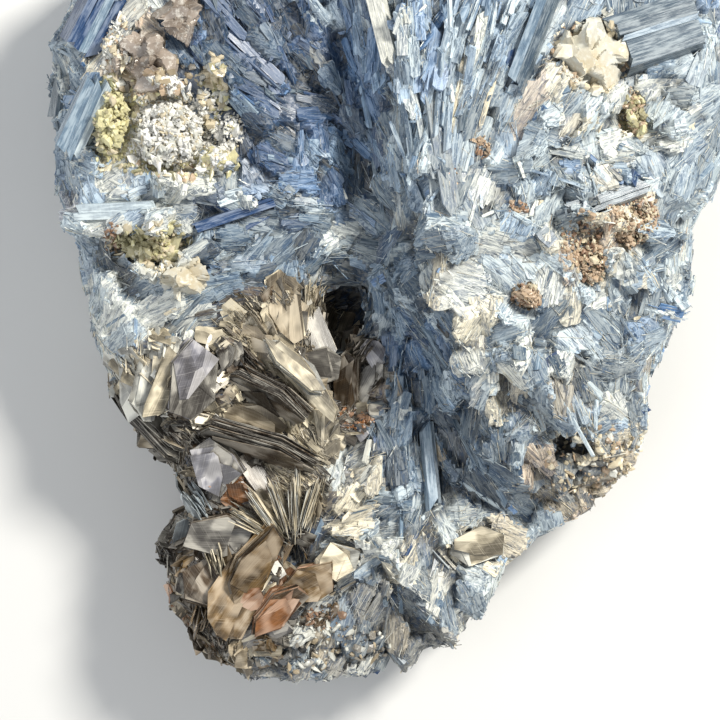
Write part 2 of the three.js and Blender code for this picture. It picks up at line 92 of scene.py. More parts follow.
# Sprays: the root that blades point away from, and the ellipse over which it rules: centre and half widths.
SPRAYS = [
    area(0, 15, 90, 90, root=(6, 0, 22), wander=15),
    area(-44, -2, 30, 22, root=(-14, 17, 24), wander=20),
    area(2, -72, 32, 24, root=(4, -50, 22), wander=14),
    area(10, 70, 27, 54, root=(6, -2, 44), wander=5),
    area(-59, 38, 8, 20, root=(-50, 62, 44), wander=8),
    area(18, -18, 9, 19, root=(-3, 14, 44), wander=8),
    area(-12, -54, 13, 12, root=(-21, -62, 20), wander=12),
]
MICA_SPRAYS = [
    area(-30, -34, 40, 40, root=(-80, -10, 30), wander=30),
    area(-22, -13, 15, 12, root=(-20, -36, 30), wander=14),
    area(-51, -25, 9, 12, root=(-56, -36, 36), wander=8),
    area(-14, -38, 9, 12, root=(-62, -2, 36), wander=16),
    area(-18, -54, 16, 14, root=(-36, -40, 24), wander=12),
    area(-36, -72, 22, 18, root=(-40, -95, 24), wander=45),
]

# Where blades cross at all angles: centre, half widths and how many degrees more they wander.
TANGLES = [
    area(40, -4, 34, 40, wander=42),
    area(58, 50, 22, 24, wander=24),
    area(-44, 20, 26, 14, wander=26),
    area(-14, 34, 14, 22, wander=20),
]

# Small swells along the ridge that runs down from the crest: centre, half widths and height.
SWELLS = [
    area(9, -5, 5, 10, height=1.6), area(15.5, -16, 6, 10, height=2.2),
    area(24, -27, 7, 10, height=2.4), area(30, -38, 6, 8, height=1.6),
]

# Pits and slits that stay in shadow: centre, half widths and depth.
PITS = [
    area(-10, -6.5, 6, 10, depth=3.4), area(3.5, 4.8, 1.2, 5.5, depth=2),
    area(39.6, -40.2, 4, 3.2, depth=3), area(58.3, -7.6, 3.4, 2.6, depth=2),
    area(-14.5, 17.6, 1.6, 5, depth=2), area(-0.2, 46.5, 1, 11, depth=1.5),
    area(-27, -58, 3.6, 4, depth=3), area(-21.5, -64, 3.4, 4.4, depth=3.5),
    area(-16, -70, 3.6, 3.4, depth=3), area(-2.7, -56.6, 1.8, 2.3, depth=1.5),
    area(-30.5, -80.8, 2.8, 2.2, depth=2), area(-15.6, -83, 3.4, 1.7, depth=2),
    area(19.8, 10.8, 1.7, 1.7, depth=1.5), area(-50.9, -33.7, 4, 2, depth=1.5),
    area(20, 30, 1.2, 2.6, depth=1.5), area(-2, -74, 2.4, 1.4, depth=1.5),
]

# Where crevices part the blades, made dark by painted shade on the core.
CREVICED = [
    area(2, -26, 18, 34), area(-33, 40, 20, 30), area(-12, 30, 16, 40),
    area(40, -38, 24, 20), area(-4, -70, 30, 20), area(-28, 4, 16, 16),
    area(56, 50, 20, 20),
]

# Where blades grow long: centre, half widths and how many times longer.
LONG = [
    area(12, 68, 26, 54, times=2.6),
    area(-40, 50, 24, 26, times=1.6),
    area(2, -72, 20, 18, times=1.5),
]

# Colours of the kyanite: each patch's centre, half widths, strength and the shares of its tones.
PATCHES = [
    patch(-62, 12, 9, 6, 14, sky=3, white=3, lilac=1.4, pale=1),
    patch(-46, 27, 14, 11, 30, frost=4, white=3, cream=1.4),
    patch(-59.5, 31, 6.5, 11, 30, lemon=3, cream=2, olive=1),
    patch(50, 10, 7, 7, 16, tan=2, beige=1, cream=2),
    patch(40.5, 3.5, 5, 7, 16, tan=2, rust=0.6, cream=2),
    patch(28, -7.4, 3.4, 3.6, 16, tan=2, rust=1, cream=1),
    patch(43, 44, 8, 8, 16, cream=2, white=2, tan=1),
    patch(0, 0, 300, 300, 0.5, pale=3, sky=1, steel=3, white=2, slate=1, blue=0.6),
    # the valley beside the crest, in steel and deep blue; its dark tone is painted shade between the blades
    patch(-16, 46, 15, 34, 7, steel=2.4, slate=2, blue=3, deep=3.4, sky=0.7, dark=0.7),
    patch(2, -26, 14, 28, 6, steel=3, slate=2.6, blue=1.4, deep=1.6, pale=1.4, dark=2),
    patch(18, -42, 14, 16, 6, steel=3, slate=3.4, dark=2, pale=0.8, beige=0.4, deep=1),
    # the well-aligned sheaf above the crest
    patch(12, 66, 24, 34, 6, pale=3.6, sky=3.4, white=2.4, blue=1.8, steel=0.8, deep=0.4),
    patch(18, 52, 9, 9, 8, blue=3, deep=1.4, sky=2, pale=1),
    # the ridge that runs down from the crest
    patch(9, -5, 3, 7, 10, cream=3, white=3, pale=1, tan=0.5),
    patch(16.5, -15.5, 4, 7, 10, cream=2, white=3, pale=2),
    patch(25, -27, 4.5, 7, 9, cream=2, white=2, pale=2, beige=1),
    # the pale plateau on the right
    patch(36, 16, 30, 40, 5, white=2.6, pale=3, steel=2.4, slate=2, cream=0.7, sky=1, tan=0.15),
    patch(52, 30, 16, 10, 8, white=4, pale=3, cream=1.4, steel=0.8),
    patch(46, 20, 9, 5, 8, sky=3, blue=1.4, pale=1),
    patch(58, 48, 18, 20, 6, steel=2, slate=2.6, pale=1.6, deep=1, white=0.8, blue=0.7),
    patch(36, -26, 22, 22, 5, white=2, cream=1.1, steel=2.2, slate=1.7, pale=1.8, beige=0.4, sky=0.6),
    patch(40, -14, 10, 8, 7, slate=3, steel=2, deep=1, pale=1),
    patch(46, -46, 18, 11, 8, cream=2.4, beige=2.4, white=1, slate=1.6, dark=2.2, tan=0.7),
    # the left shoulder
    # its upper slope: the deep blue is the rock's own, and the dark tone is painted shade of a slope facing
    # away from the light
    patch(-31, 42, 19, 24, 34, steel=0.6, slate=4, blue=1.6, deep=8, dark=5.4),
    patch(-57, 40, 7, 20, 26, white=3, cream=3, tan=0.8, lilac=1, pale=1.4),
    patch(-50, 14, 26, 8, 9, pale=3, white=7, frost=1.4, sky=2, blue=0.3, cream=0.3),
    patch(-28, 6, 15, 16, 5, steel=3, pale=1, cream=0.4, slate=3, blue=1.2, dark=1, deep=1),
    patch(-56, -10, 16, 16, 6, pale=2.4, white=2.6, steel=1.2, slate=0.5, sky=0.7, cream=1.6),
    # the lobe at the lower end
    patch(2, -70, 22, 16, 6, white=2.6, pale=1.6, steel=1.6, cream=1.4, slate=1.8, dark=1.2),
    patch(-11.5, -53, 9.5, 16, 22, white=4, cream=2.2, pale=0.8, beige=1.2, umber=0.3),
    # the deep cleft in the lobe: umber and brown are partly the dark mica, and the dark tone is painted shade
    # in the cleft
    patch(-21, -64, 8, 9, 60, umber=3, dark=2, brown=2),
    patch(-10, -81, 30, 13, 16, dark=3, slate=1.6, white=2.4, beige=1.6, smoke=2.4, steel=0.6),
    patch(17, -60, 13, 12, 14, cream=3.4, white=2.6, pale=1.4, beige=1, steel=0.7, slate=0.4),
]

# The tones of the broad glassy blades.
GLASSY_PATCHES = [
    patch(0, 0, 300, 300, 1, steel=3, slate=3, sky=1, pale=1.4, blue=0.5, deep=0.7),
]

# The tones of the finest fibres: the same, but paler.
HAIR_PATCHES = [
    patch(-11.5, -53, 9.5, 16, 22, white=4, cream=3, beige=1, rust=0.15),
    patch(17, -60, 13, 12, 14, white=3, cream=3, pale=1, tan=0.3),
    patch(-10, -81, 30, 13, 16, white=3, beige=1.6, smoke=2, slate=1),
    # the deep cleft in the lobe: darker hairs, partly the dark mica and partly painted shade in the cleft
    patch(-21, -64, 8, 9, 60, umber=2, brown=2, beige=1),
    patch(-57, 40, 7, 20, 16, white=4, cream=2, lilac=0.6, tan=0.4),
    patch(-28, 6, 15, 16, 5, pale=2, steel=2, sky=1, slate=1),
    patch(12, 66, 24, 34, 4, white=4, pale=3, sky=2),
    patch(-54, 10, 18, 12, 6, white=5, pale=2, cream=1),
    # the left shoulder's upper slope: the dark and deep hair tones are partly the rock's own blue and partly
    # painted shade
    patch(-31, 42, 19, 24, 34, slate=4, steel=1, deep=3, dark=1),
    patch(0, 0, 300, 300, 0.5, white=4, pale=3, sky=0.6, cream=1),
    patch(-16, 46, 15, 34, 7, sky=1.6, steel=2, blue=1.6, slate=1),
    patch(2, -26, 14, 28, 6, pale=2, steel=2, white=0.8, beige=0.4),
    patch(36, 6, 34, 46, 5, white=4, cream=1.4, pale=2.4, tan=0.2),
    patch(42, -40, 20, 16, 6, white=2, cream=3, beige=1, tan=0.8),
    patch(0, -66, 26, 22, 5, white=4, cream=2, pale=1.6, beige=0.8),
]

# Where mica takes the place of kyanite: centre, half widths, strength and the shares of its tones.
MICA_FIELDS = [
    patch(-27, -30, 20, 20, 1, beige=2, ivory=5, brown=1.6, umber=1.2, smoke=1, cream=2),
    patch(-22, -13, 14, 9, 3, beige=2.4, ivory=3, brown=1.2, smoke=1, cream=1.4, umber=0.5),
    patch(-51, -26, 10, 11, 5, ivory=3, cream=3, white=2, beige=0.6),
    patch(-48, -40, 12, 9, 2, smoke=2, beige=1.2, umber=2.4, brown=1),
    patch(-9, -27, 8, 12, 2, lilac=1.2, umber=3, brown=2, smoke=1.4, slate=1.4, amber=0.2),
    patch(-36, -68, 19, 21, 1, gold=1, brown=3, beige=1, amber=0.5, smoke=1.6, ivory=0.8, umber=2.4),
    patch(-23, -48, 9, 9.5, 3, beige=2, ivory=3, brown=0.6, tan=1, rust=0.15, cream=2.4, white=2, umber=0.3),
    patch(-46, -56, 6, 8, 3, smoke=3, brown=2, pale=1, white=0.6),
]

# Crumbly patches of small crystals: centre, half widths, how many, their sizes and tones.
CRUMBS = [
    crumbs(-45.5, 27.5, 14, 10.5, 2800, 0.45, 1.4, frost=7, white=2, cream=1.4, lemon=0.5),
    crumbs(-59.5, 31, 6.5, 11, 560, 0.6, 1.7, lemon=4, olive=1.4, cream=1.4, white=1),
    crumbs(-46, 21, 13, 3.8, 360, 0.7, 2.0, olive=3, lemon=3, cream=1, tan=0.6),
    crumbs(-59, 44, 4, 10, 300, 0.4, 1.3, frost=4, cream=3, tan=1.2, rust=0.3),
    crumbs(-44, 19.5, 2.4, 3, 60, 0.6, 1.5, rust=1, tan=3, cream=1),
    crumbs(-38.5, 36, 3.6, 8, 180, 0.8, 2.6, cream=4, olive=1.4, lemon=1, white=2),
    crumbs(-51, 40, 10, 6, 190, 0.8, 2.4, cream=2, smoke=1.5, tan=1, beige=2),
    crumbs(-52, 4.5, 10.5, 4, 240, 0.8, 2.4, olive=2.4, lemon=1.4, cream=2, white=1),
    crumbs(-48, -1.5, 7, 4, 160, 0.8, 2.2, white=3, cream=2),
    crumbs(-60, 5, 2.4, 3.4, 60, 0.6, 1.5, rust=2, tan=2),
    crumbs(42.5, 44, 9, 9, 340, 0.7, 2.4, cream=3, white=2, tan=1.5, beige=1),
    crumbs(51, 31, 3, 6.5, 160, 0.6, 1.6, olive=2, tan=2, cream=1.4, gold=1),
    crumbs(51, 10, 6.5, 7, 560, 0.35, 1.25, rust=1.4, tan=3, cream=2.6, brown=0.6),
    crumbs(40.5, 3.5, 5, 7, 430, 0.35, 1.25, rust=1.6, tan=3, cream=2, brown=0.7),
    crumbs(28, -7.4, 3.2, 3.4, 170, 0.35, 1.25, rust=3, tan=2, brown=1),
    crumbs(19, 24, 2, 2.6, 50, 0.5, 1.3, rust=2, tan=3),
    crumbs(12.5, 17.5, 1.6, 2.8, 40, 0.4, 1.2, amber=2, tan=3),
    crumbs(26.8, 11.4, 2.6, 1.5, 40, 0.5, 1.3, rust=2, tan=3),
    crumbs(47, -44, 15, 9, 340, 0.6, 1.9, cream=2, beige=2.4, tan=1.4, white=1, smoke=1),
    crumbs(-20, -83, 20, 6, 340, 0.6, 2.0, white=2, smoke=2, dark=1.4, beige=1.4, slate=1),
    crumbs(-15, -77, 5, 2.6, 100, 0.5, 1.6, rust=3, brown=2, umber=1),
    crumbs(-8, -34, 5, 3, 120, 0.5, 1.5, amber=3, rust=2, umber=1),
]


# The ground below mica is dark.
PATCHES += [
    patch(*field["at"], *field["half"], 40, umber=3, brown=2, beige=1) for field in MICA_FIELDS
]


def inside(places, ellipse):
    """How deep places lie in an ellipse: 1 at its centre and 0 at its edge."""
    away = ((places[:, :2] / MM - ellipse["at"]) / ellipse["half"]) ** 2
    return np.clip(1 - away.sum(1), 0, 1)


def deepest(places, ellipses):
    """How far places are inside any of some ellipses, from 0 to 1."""
    return np.max([inside(places, ellipse) for ellipse in ellipses], axis=0)


def pick_tones(places, patches, blend=0.0):
    """One tone per place, drawn from the patches that reach it and blended towards their average."""
    names = sorted(TONES)
    odds = np.zeros((len(places), len(names)))
    for field in patches:
        depth = inside(places, field) ** 0.6 * field["strength"]
        share = sum(field["tones"].values())
        for name, weight in field["tones"].items():
            odds[:, names.index(name)] += depth * weight / share
    odds += 1e-9
    odds /= odds.sum(1, keepdims=True)
    drawn = (RNG.random(len(places))[:, None] > odds.cumsum(1)).sum(1)
    colours = np.array([TONES[name] for name in names])
    return colours[np.clip(drawn, 0, len(names) - 1)] * (1 - blend) + (odds @ colours) * blend


# ------------------------------------------------------------------ numbers


def lattice(cells, seed):
    """A repeatable value from 0 to 1 for each whole-numbered cell."""
    mixed = cells[:, 0] * 374761393 + cells[:, 1] * 668265263 + cells[:, 2] * 2147483647 + seed * 1274126177
    mixed = (mixed ^ (mixed >> 13)) * 1274126177
    return ((mixed ^ (mixed >> 16)) & 0xFFFF) / 65535


def noise(points, size, seed=0):
    """Smooth noise from -1 to 1 whose lumps are size across."""
    scaled = points / size
    cell = np.floor(scaled).astype(np.int64)
    part = scaled - cell
    part = part * part * (3 - 2 * part)
    total = np.zeros(len(points))
    for corner in np.ndindex(2, 2, 2):
        weight = np.prod(np.where(corner, part, 1 - part), axis=1)
        total += weight * lattice(cell + np.array(corner), seed)
    return 2 * total - 1


def wobbled(points, reach, size):
    """Points moved a little, by noise whose lumps are size across."""
    return points + reach * np.stack([noise(points, size, seed) for seed in (11, 12, 13)], 1)


def unit(vectors):
    return vectors / np.maximum(np.linalg.norm(vectors, axis=-1, keepdims=True), 1e-12)


def flush(vectors, normals):
    """Each vector laid flat on the plane that its normal is square to."""
    return unit(vectors - (vectors * normals).sum(1, keepdims=True) * normals)


def turned(vectors, axes, angles):
    """Each vector turned about its axis by its angle."""
    cos, sin = np.cos(angles)[:, None], np.sin(angles)[:, None]
    dot = (vectors * axes).sum(1, keepdims=True)
    return vectors * cos + np.cross(axes, vectors) * sin + axes * dot * (1 - cos)


# ------------------------------------------------------------------ meshes

LOWEST = 0.05 * MM  # how near the floor small solids come
FAR = 400  # how far apart, in millimetres, solids lie in the grain that their materials share


def new_object(name, data):
    made = bpy.data.objects.new(name, data)
    bpy.context.scene.collection.objects.link(made)
    return made


def new_piece(name, mesh, material, replaced=()):
    """Adds a mesh to the model as one piece."""
    piece = new_object(name, mesh)
    mesh.materials.clear()
    mesh.materials.append(material)
    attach(piece, "root")
    if replaced:
        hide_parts(*replaced)


def floats(values):
    """Numbers in the flat form that meshes take."""
    return np.ascontiguousarray(values, dtype=np.float32).ravel()


def set_values(mesh, tones, grains, domain="POINT"):
    """Stores a tone and a place in the grain for each point or corner."""
    layer = mesh.attributes.new("tone", "FLOAT_COLOR", domain)
    layer.data.foreach_set("color", floats(np.hstack([tones, np.ones((len(tones), 1))])))
    mesh.attributes.new("grain", "FLOAT_VECTOR", domain).data.foreach_set("vector", floats(grains))


class Pile:
    """Many small closed solids of one kind, gathered into a single mesh."""

    def __init__(self):
        self.points, self.corners, self.sizes = [], [], []
        self.tones, self.grains, self.maps = [], [], []
        self.total = 0

    def add(self, points, faces, tones, grains, cell_map):
        """points is (count, corners, 3). faces lists each solid's faces, which all copies share."""
        count, each = points.shape[:2]
        starts = self.total + np.arange(count) * each
        flat = np.concatenate([np.array(face) for face in faces])
        self.corners.append((starts[:, None] + flat).ravel())
        self.sizes.append(np.tile([len(face) for face in faces], count))
        self.points.append(points.reshape(-1, 3))
        self.tones.append(np.broadcast_to(tones, (count, each, 3)).reshape(-1, 3))
        self.grains.append(grains.reshape(-1, 3))
        self.maps.append((count, cell_map))
        self.total += count * each

    def atlas(self):
        """Places of every corner on a square map that gives each solid a cell of its own."""
        count = sum(number for number, _ in self.maps)
        columns = max(1, int(math.sqrt(count / 3)))
        rows = math.ceil(count / columns)
        places, first = [], 0
        for number, cell_map in self.maps:
            cells = first + np.arange(number)
            base = np.stack([(cells % columns) / columns, (cells // columns) / rows], 1)
            spread = cell_map * np.array([0.92 / columns, 0.86 / rows])
            places.append((base[:, None] + spread).reshape(-1, 2))
            first += number
        return np.concatenate(places)

    def mesh(self, name):
        points = np.concatenate(self.points)
        corners = np.concatenate(self.corners)
        sizes = np.concatenate(self.sizes)
        made = bpy.data.meshes.new(name)
        made.vertices.add(len(points))
        made.vertices.foreach_set("co", floats(points))
        made.loops.add(len(corners))
        made.loops.foreach_set("vertex_index", corners.astype(np.int32))
        made.polygons.add(len(sizes))
        made.polygons.foreach_set("loop_start", (np.cumsum(sizes) - sizes).astype(np.int32))
        made.update(calc_edges=True)
        set_values(made, np.concatenate(self.tones), np.concatenate(self.grains))
        made.uv_layers.new(name="OFBake").data.foreach_set("uv", floats(self.atlas()))
        made.validate()
        made.shade_flat()
        return made

    def piece(self, name, material, slot, replaced=()):
        new_piece(name, self.mesh(name), material, replaced)


def put_solids(pile, faces, cell_map, centres, axes, sizes, local, tones):
    """Puts a solid at each centre. local holds its corners along its three axes, from -1 to 1."""
    local = local * (sizes / 2)[:, None]
    points = centres[:, None] + sum(local[:, :, k:k + 1] * axes[k][:, None] for k in range(3))
    points[:, :, 2] = np.maximum(points[:, :, 2], LOWEST)
    grains = local / MM + RNG.uniform(-FAR, FAR, (len(centres), 1, 3))
    pile.add(points, faces, tones[:, None], grains, cell_map)


# A blade's eight corners, one row for each: along, across and through.
BLADE_CORNERS = np.array([(x, y, z) for x in (-1, 1) for y in (-1, 1) for z in (-1, 1)], float)
BLADE_FACES = [(1, 5, 7, 3), (0, 2, 6, 4), (3, 7, 6, 2), (0, 4, 5, 1), (4, 6, 7, 5), (0, 1, 3, 2)]
BLADE_MAP = np.array([
    (0.1, 0.3), (0.9, 0.3), (0.9, 0.7), (0.1, 0.7),
    (0.1, 0.97), (0.1, 1), (0.9, 1), (0.9, 0.97),
    (0.1, 0.7), (0.9, 0.7), (0.9, 0.95), (0.1, 0.95),
    (0.1, 0.05), (0.9, 0.05), (0.9, 0.3), (0.1, 0.3),
    (1, 0.3), (1, 0.7), (0.9, 0.7), (0.9, 0.3),
    (0, 0.3), (0.1, 0.3), (0.1, 0.7), (0, 0.7),
])


def add_blades(pile, centres, along, across, sizes, tones, taper=0.62):
    """Adds laths to a pile, in metres: narrower on top, with slanted ends of uneven width."""
    count = len(centres)
    through = np.cross(along, across)
    local = np.broadcast_to(BLADE_CORNERS, (count, 8, 3)).copy()
    local[:, :, 1] *= np.where(local[:, :, 2] > 0, RNG.uniform(taper, 0.95, (count, 1)), 1)
    for end in (-1, 1):
        at_end = BLADE_CORNERS[:, 0] == end
        local[:, at_end, 1] *= RNG.uniform(0.72, 1, (count, 1))
        local[:, at_end, 2] *= RNG.uniform(0.7, 1, (count, 1))
    slants = RNG.uniform(-1.3, 1.3, (count, 1)) * (sizes[:, 1] / sizes[:, 0])[:, None]
    local[:, :, 0] += slants * local[:, :, 1]
    put_solids(pile, BLADE_FACES, BLADE_MAP, centres, (along, across, through), sizes, local, tones)


# A hair's six corners: along, across and through; its lower side is a single edge.
HAIR_CORNERS = np.array([(-1, -1, 1), (-1, 1, 1), (-1, 0, -1), (1, -1, 1), (1, 1, 1), (1, 0, -1)], float)
HAIR_FACES = [(0, 3, 4, 1), (0, 2, 5, 3), (1, 4, 5, 2), (0, 1, 2), (3, 5, 4)]
HAIR_MAP = np.array([
    (0.1, 0.3), (0.9, 0.3), (0.9, 0.7), (0.1, 0.7),
    (0.1, 0.3), (0.1, 0.05), (0.9, 0.05), (0.9, 0.3),
    (0.1, 0.7), (0.9, 0.7), (0.9, 0.95), (0.1, 0.95),
    (0.1, 0.3), (0.1, 0.7), (0, 0.5),
    (0.9, 0.3), (1, 0.5), (0.9, 0.7),
])


def add_hairs(pile, centres, along, across, sizes, tones):
    """Adds three-sided fibres to a pile, in metres, tapered towards their ends."""
    count = len(centres)
    through = np.cross(along, across)
    local = np.broadcast_to(HAIR_CORNERS, (count, 6, 3)).copy()
    for end in (-1, 1):
        at_end = HAIR_CORNERS[:, 0] == end
        local[:, at_end, 1] *= RNG.uniform(0.1, 0.7, (count, 1))
    local[:, :, 0] += RNG.uniform(-0.1, 0.1, (count, 1)) * local[:, :, 1]
    put_solids(pile, HAIR_FACES, HAIR_MAP, centres, (along, across, through), sizes, local, tones)


def prism_faces(sides):
    """Upper and lower outline, then one face for each side."""
    ring = range(sides)
    walls = [(k, (k + 1) % sides, sides + (k + 1) % sides, sides + k) for k in ring]
    return [tuple(range(sides, 2 * sides)), tuple(reversed(ring)), *walls]


def prism_map(sides):
    """A prism's own cell: its upper side on the left, the lower on the right, and its edge along the foot."""
    turn = 2 * np.pi * np.arange(sides) / sides
    disc = np.stack([np.cos(turn), np.sin(turn)], 1)
    edges = [np.array([(k, 0), (k + 0.9, 0), (k + 0.9, 1), (k, 1)]) * (1 / sides, 0.2) for k in range(sides)]
    upper, lower = disc * (0.24, 0.36) + (0.25, 0.6), disc[::-1] * (0.24, 0.36) + (0.75, 0.6)
    return np.concatenate([upper, lower, *edges])


def add_prisms(pile, outlines, centres, along, across, sizes, tones):
    """Adds thin plates to a pile. outlines is (count, sides, 2), from -1 to 1, counterclockwise."""
    count, sides = outlines.shape[:2]
    local = np.zeros((count, 2 * sides, 3))
    local[:, :, :2] = np.concatenate([outlines, outlines], 1)
    local[:, :sides, 2] = -1
    local[:, sides:, 2] = 1
    axes = (along, across, np.cross(along, across))
    put_solids(pile, prism_faces(sides), prism_map(sides), centres, axes, sizes, local, tones)


# ------------------------------------------------------------------ materials


class Shader:
    """A material, with short ways to add the nodes that the materials here have in common."""

    def __init__(self, name):
        self.material = bpy.data.materials.new(name)
        self.material.use_nodes = True
        self.tree = self.material.node_tree
        self.inputs = self.tree.nodes["Principled BSDF"].inputs

    def give(self, socket, value):
        """Links another node's output to a socket, or sets a plain value there."""
        if isinstance(value, bpy.types.NodeSocket):
            self.tree.links.new(value, socket)
        else:
            socket.default_value = value

    def node(self, kind, inputs=(), **settings):
        """Adds a node and gives its outputs. inputs maps a socket's name or number to what it takes."""
        made = self.tree.nodes.new(kind)
        for key, value in settings.items():
            setattr(made, key, value)
        for key, value in dict(inputs).items():
            self.give(made.inputs[key], value)
        return made.outputs

    def tone(self):
        """The colour that a mesh carries."""
        return self.node("ShaderNodeAttribute", attribute_name="tone")["Color"]

    def carried(self):
        """The tone that a mesh carries, and the place in the grain."""
        return self.tone(), self.node("ShaderNodeAttribute", attribute_name="grain")["Vector"]

    def scaled(self, vector, scale):
        return self.node("ShaderNodeVectorMath", {0: vector, 1: scale}, operation="MULTIPLY")[0]

    def noise(self, vector, stretch, detail=3.0, roughness=0.6):
        """Noise over a vector whose parts are scaled by stretch, in lumps to a unit of the vector."""
        place = self.scaled(vector, stretch)
        inputs = {"Vector": place, "Scale": 1.0, "Detail": detail, "Roughness": roughness}
        return self.node("ShaderNodeTexNoise", inputs)["Fac"]

    def rotated(self, vector, degrees):
        inputs = {"Vector": vector, "Angle": math.radians(degrees)}
        return self.node("ShaderNodeVectorRotate", inputs)["Vector"]

    def spread(self, value, low, high, to_low=0.0, to_high=1.0):
        """A value's range stretched over another one."""
        inputs = {"Value": value, "From Min": low, "From Max": high, "To Min": to_low, "To Max": to_high}
        return self.node("ShaderNodeMapRange", inputs)["Result"]

    def mixed(self, factor, first, second, blend="MIX"):
        """Two colours in one, each of them an output or its three numbers."""
        first, second = (c if isinstance(c, bpy.types.NodeSocket) else (*c, 1) for c in (first, second))
        inputs = {0: factor, 6: first, 7: second}
        return self.node("ShaderNodeMix", inputs, data_type="RGBA", blend_type=blend)[2]

    def brighter(self, factor, tone, times, pale):
        """A tone made brighter and then mixed with a pale colour."""
        return self.mixed(factor, self.mixed(1.0, tone, times, "MULTIPLY"), pale)

    def layered(self, body, *coats):
        """A colour under coats. Each has the value that places it, the ends of its range, how much of the
        coat shows at each end, and the coat's colour."""
        for value, low, high, at_low, at_high, colour in coats:
            body = self.mixed(self.spread(value, low, high, at_low, at_high), body, colour)
        return body

    def finished(self, body, rough, height, strength, distance):
        """The material, with its colour, its roughness and its fine relief."""
        relief = {"Height": height, "Strength": strength, "Distance": distance}
        self.give(self.inputs["Base Color"], body)
        self.give(self.inputs["Roughness"], self.spread(*rough))
        self.give(self.inputs["Normal"], self.node("ShaderNodeBump", relief)["Normal"])
        return self.material


def kyanite_material():
    """Silky blades: blue windows and frosted white between fine straight streaks, and pale needles across; the
    white and the needles are partly the fibres' own colour and partly painted highlight, and the near-black
    streaks are painted shade between fibres.
    """
    shader = Shader("kyanite")
    tone, grain = shader.carried()
    clear = shader.noise(grain, (0.22, 0.55, 0.55), 4.0)
    coarse = shader.noise(grain, (0.12, 1.2, 1.2), 2.0)
    fine = shader.noise(grain, (0.3, 3.4, 3.4))
    streak = shader.node("ShaderNodeMath", {0: coarse, 1: fine}, operation="ADD")[0]
    steps = shader.noise(grain, (1.4, 0.4, 0.4), 3.0, 0.75)
    darker = shader.mixed(0.62, tone, (0.035, 0.08, 0.16))
    paleness = shader.node("ShaderNodeRGBToBW", {"Color": tone})[0]
    frost = shader.spread(paleness, 0.06, 0.4, 0.15, 0.26)
    lighter = shader.brighter(frost, tone, (1.36, 1.35, 1.3), (0.72, 0.73, 0.7))
    # The pale layers and needles are partly the fibres' own white and partly painted highlight; the near-black
    # streak is painted shade between the fibres.
    body = shader.layered(
        tone, (clear, 0.38, 0.5, 1, 0, darker), (clear, 0.52, 0.64, 0, 0.8, lighter),
        (streak, 0.98, 0.84, 0, 0.7, darker), (streak, 0.84, 0.72, 0, 0.7, (0.012, 0.02, 0.035)),
        (streak, 1.02, 1.14, 0, 0.95, lighter),
    )
    for degrees, start in ((16, 0.58), (-27, 0.6), (58, 0.62)):
        needle = shader.noise(shader.rotated(grain, degrees), (0.3, 2.2, 2.2))
        body = shader.layered(body, (needle, start, start + 0.06, 0, 0.85, lighter))
    body = shader.layered(body, (steps, 0.6, 0.68, 0, 0.5, darker))
    return shader.finished(body, (streak, 0.8, 1.2, 0.3, 0.6), streak, 0.25, 0.00015)


def glassy_material():
    """Clear blades with pale streaks, crossed by fine bands where they part."""
    shader = Shader("kyanite_glassy")
    tone, grain = shader.carried()
    bands = shader.noise(grain, (1.3, 0.25, 0.25), 4.0, 0.7)
    streak = shader.noise(grain, (0.18, 2.2, 2.2), 5.0, 0.7)
    cloud = shader.noise(grain, (0.2, 0.5, 0.5))
    darker = shader.mixed(0.5, tone, (0.03, 0.05, 0.09))
    lighter = shader.brighter(0.3, tone, (1.6, 1.55, 1.45), (0.66, 0.7, 0.72))
    body = shader.layered(
        darker, (bands, 0.36, 0.56, 0.5, 1, tone), (cloud, 0.46, 0.62, 0, 0.85, lighter),
        (streak, 0.48, 0.38, 0, 0.7, darker), (streak, 0.52, 0.62, 0, 0.9, lighter),
    )
    return shader.finished(body, (streak, 0.35, 0.65, 0.2, 0.42), streak, 0.4, 0.00015)


def mica_material():
    """Cleaved sheets: glossy and cloudy, with fine streaks and scratches, and striped along their edges; the
    bright clouds are partly the sheets' own pale patches and partly painted highlight.
    """
    shader = Shader("mica")
    tone, grain = shader.carried()
    layers = shader.noise(grain, (0.1, 0.1, 6.0), 2.0, 0.7)
    cloud = shader.noise(grain, (0.13, 0.2, 0.3), 2.5)
    streak = shader.noise(grain, (0.12, 6.0, 0.8))
    scratch = shader.noise(shader.rotated(grain, 60), (0.16, 5.0, 0.8))
    flaws = {"Vector": shader.scaled(grain, (0.1, 0.3, 0.3)), "Scale": 1.0}
    chips = shader.node("ShaderNodeTexVoronoi", flaws)["Color"]
    chip = shader.node("ShaderNodeSeparateColor", {"Color": chips})[0]
    darker = shader.mixed(0.85, tone, (0.015, 0.011, 0.008))
    lighter = shader.brighter(0.42, tone, (1.5, 1.46, 1.38), (0.78, 0.75, 0.66))
    shader.inputs["Coat Weight"].default_value = 0.2
    shader.inputs["Coat Roughness"].default_value = 0.22
    # The bright cloud layer is partly the sheets' own pale patches and partly painted highlight.
    body = shader.layered(
        tone, (cloud, 0.41, 0.6, 0.95, 0, darker), (cloud, 0.53, 0.62, 0, 0.92, lighter),
        (chip, 0.1, 0.45, 0.6, 0, darker), (chip, 0.75, 1, 0, 0.6, lighter),
        (streak, 0.48, 0.34, 0, 0.34, darker), (streak, 0.55, 0.7, 0, 0.26, lighter),
        (scratch, 0.58, 0.7, 0, 0.3, lighter), (layers, 0.54, 0.66, 0, 0.6, lighter),
        (layers, 0.45, 0.36, 0, 0.6, darker),
    )
    return shader.finished(body, (streak, 0.35, 0.65, 0.24, 0.42), streak, 0.3, 0.0001)


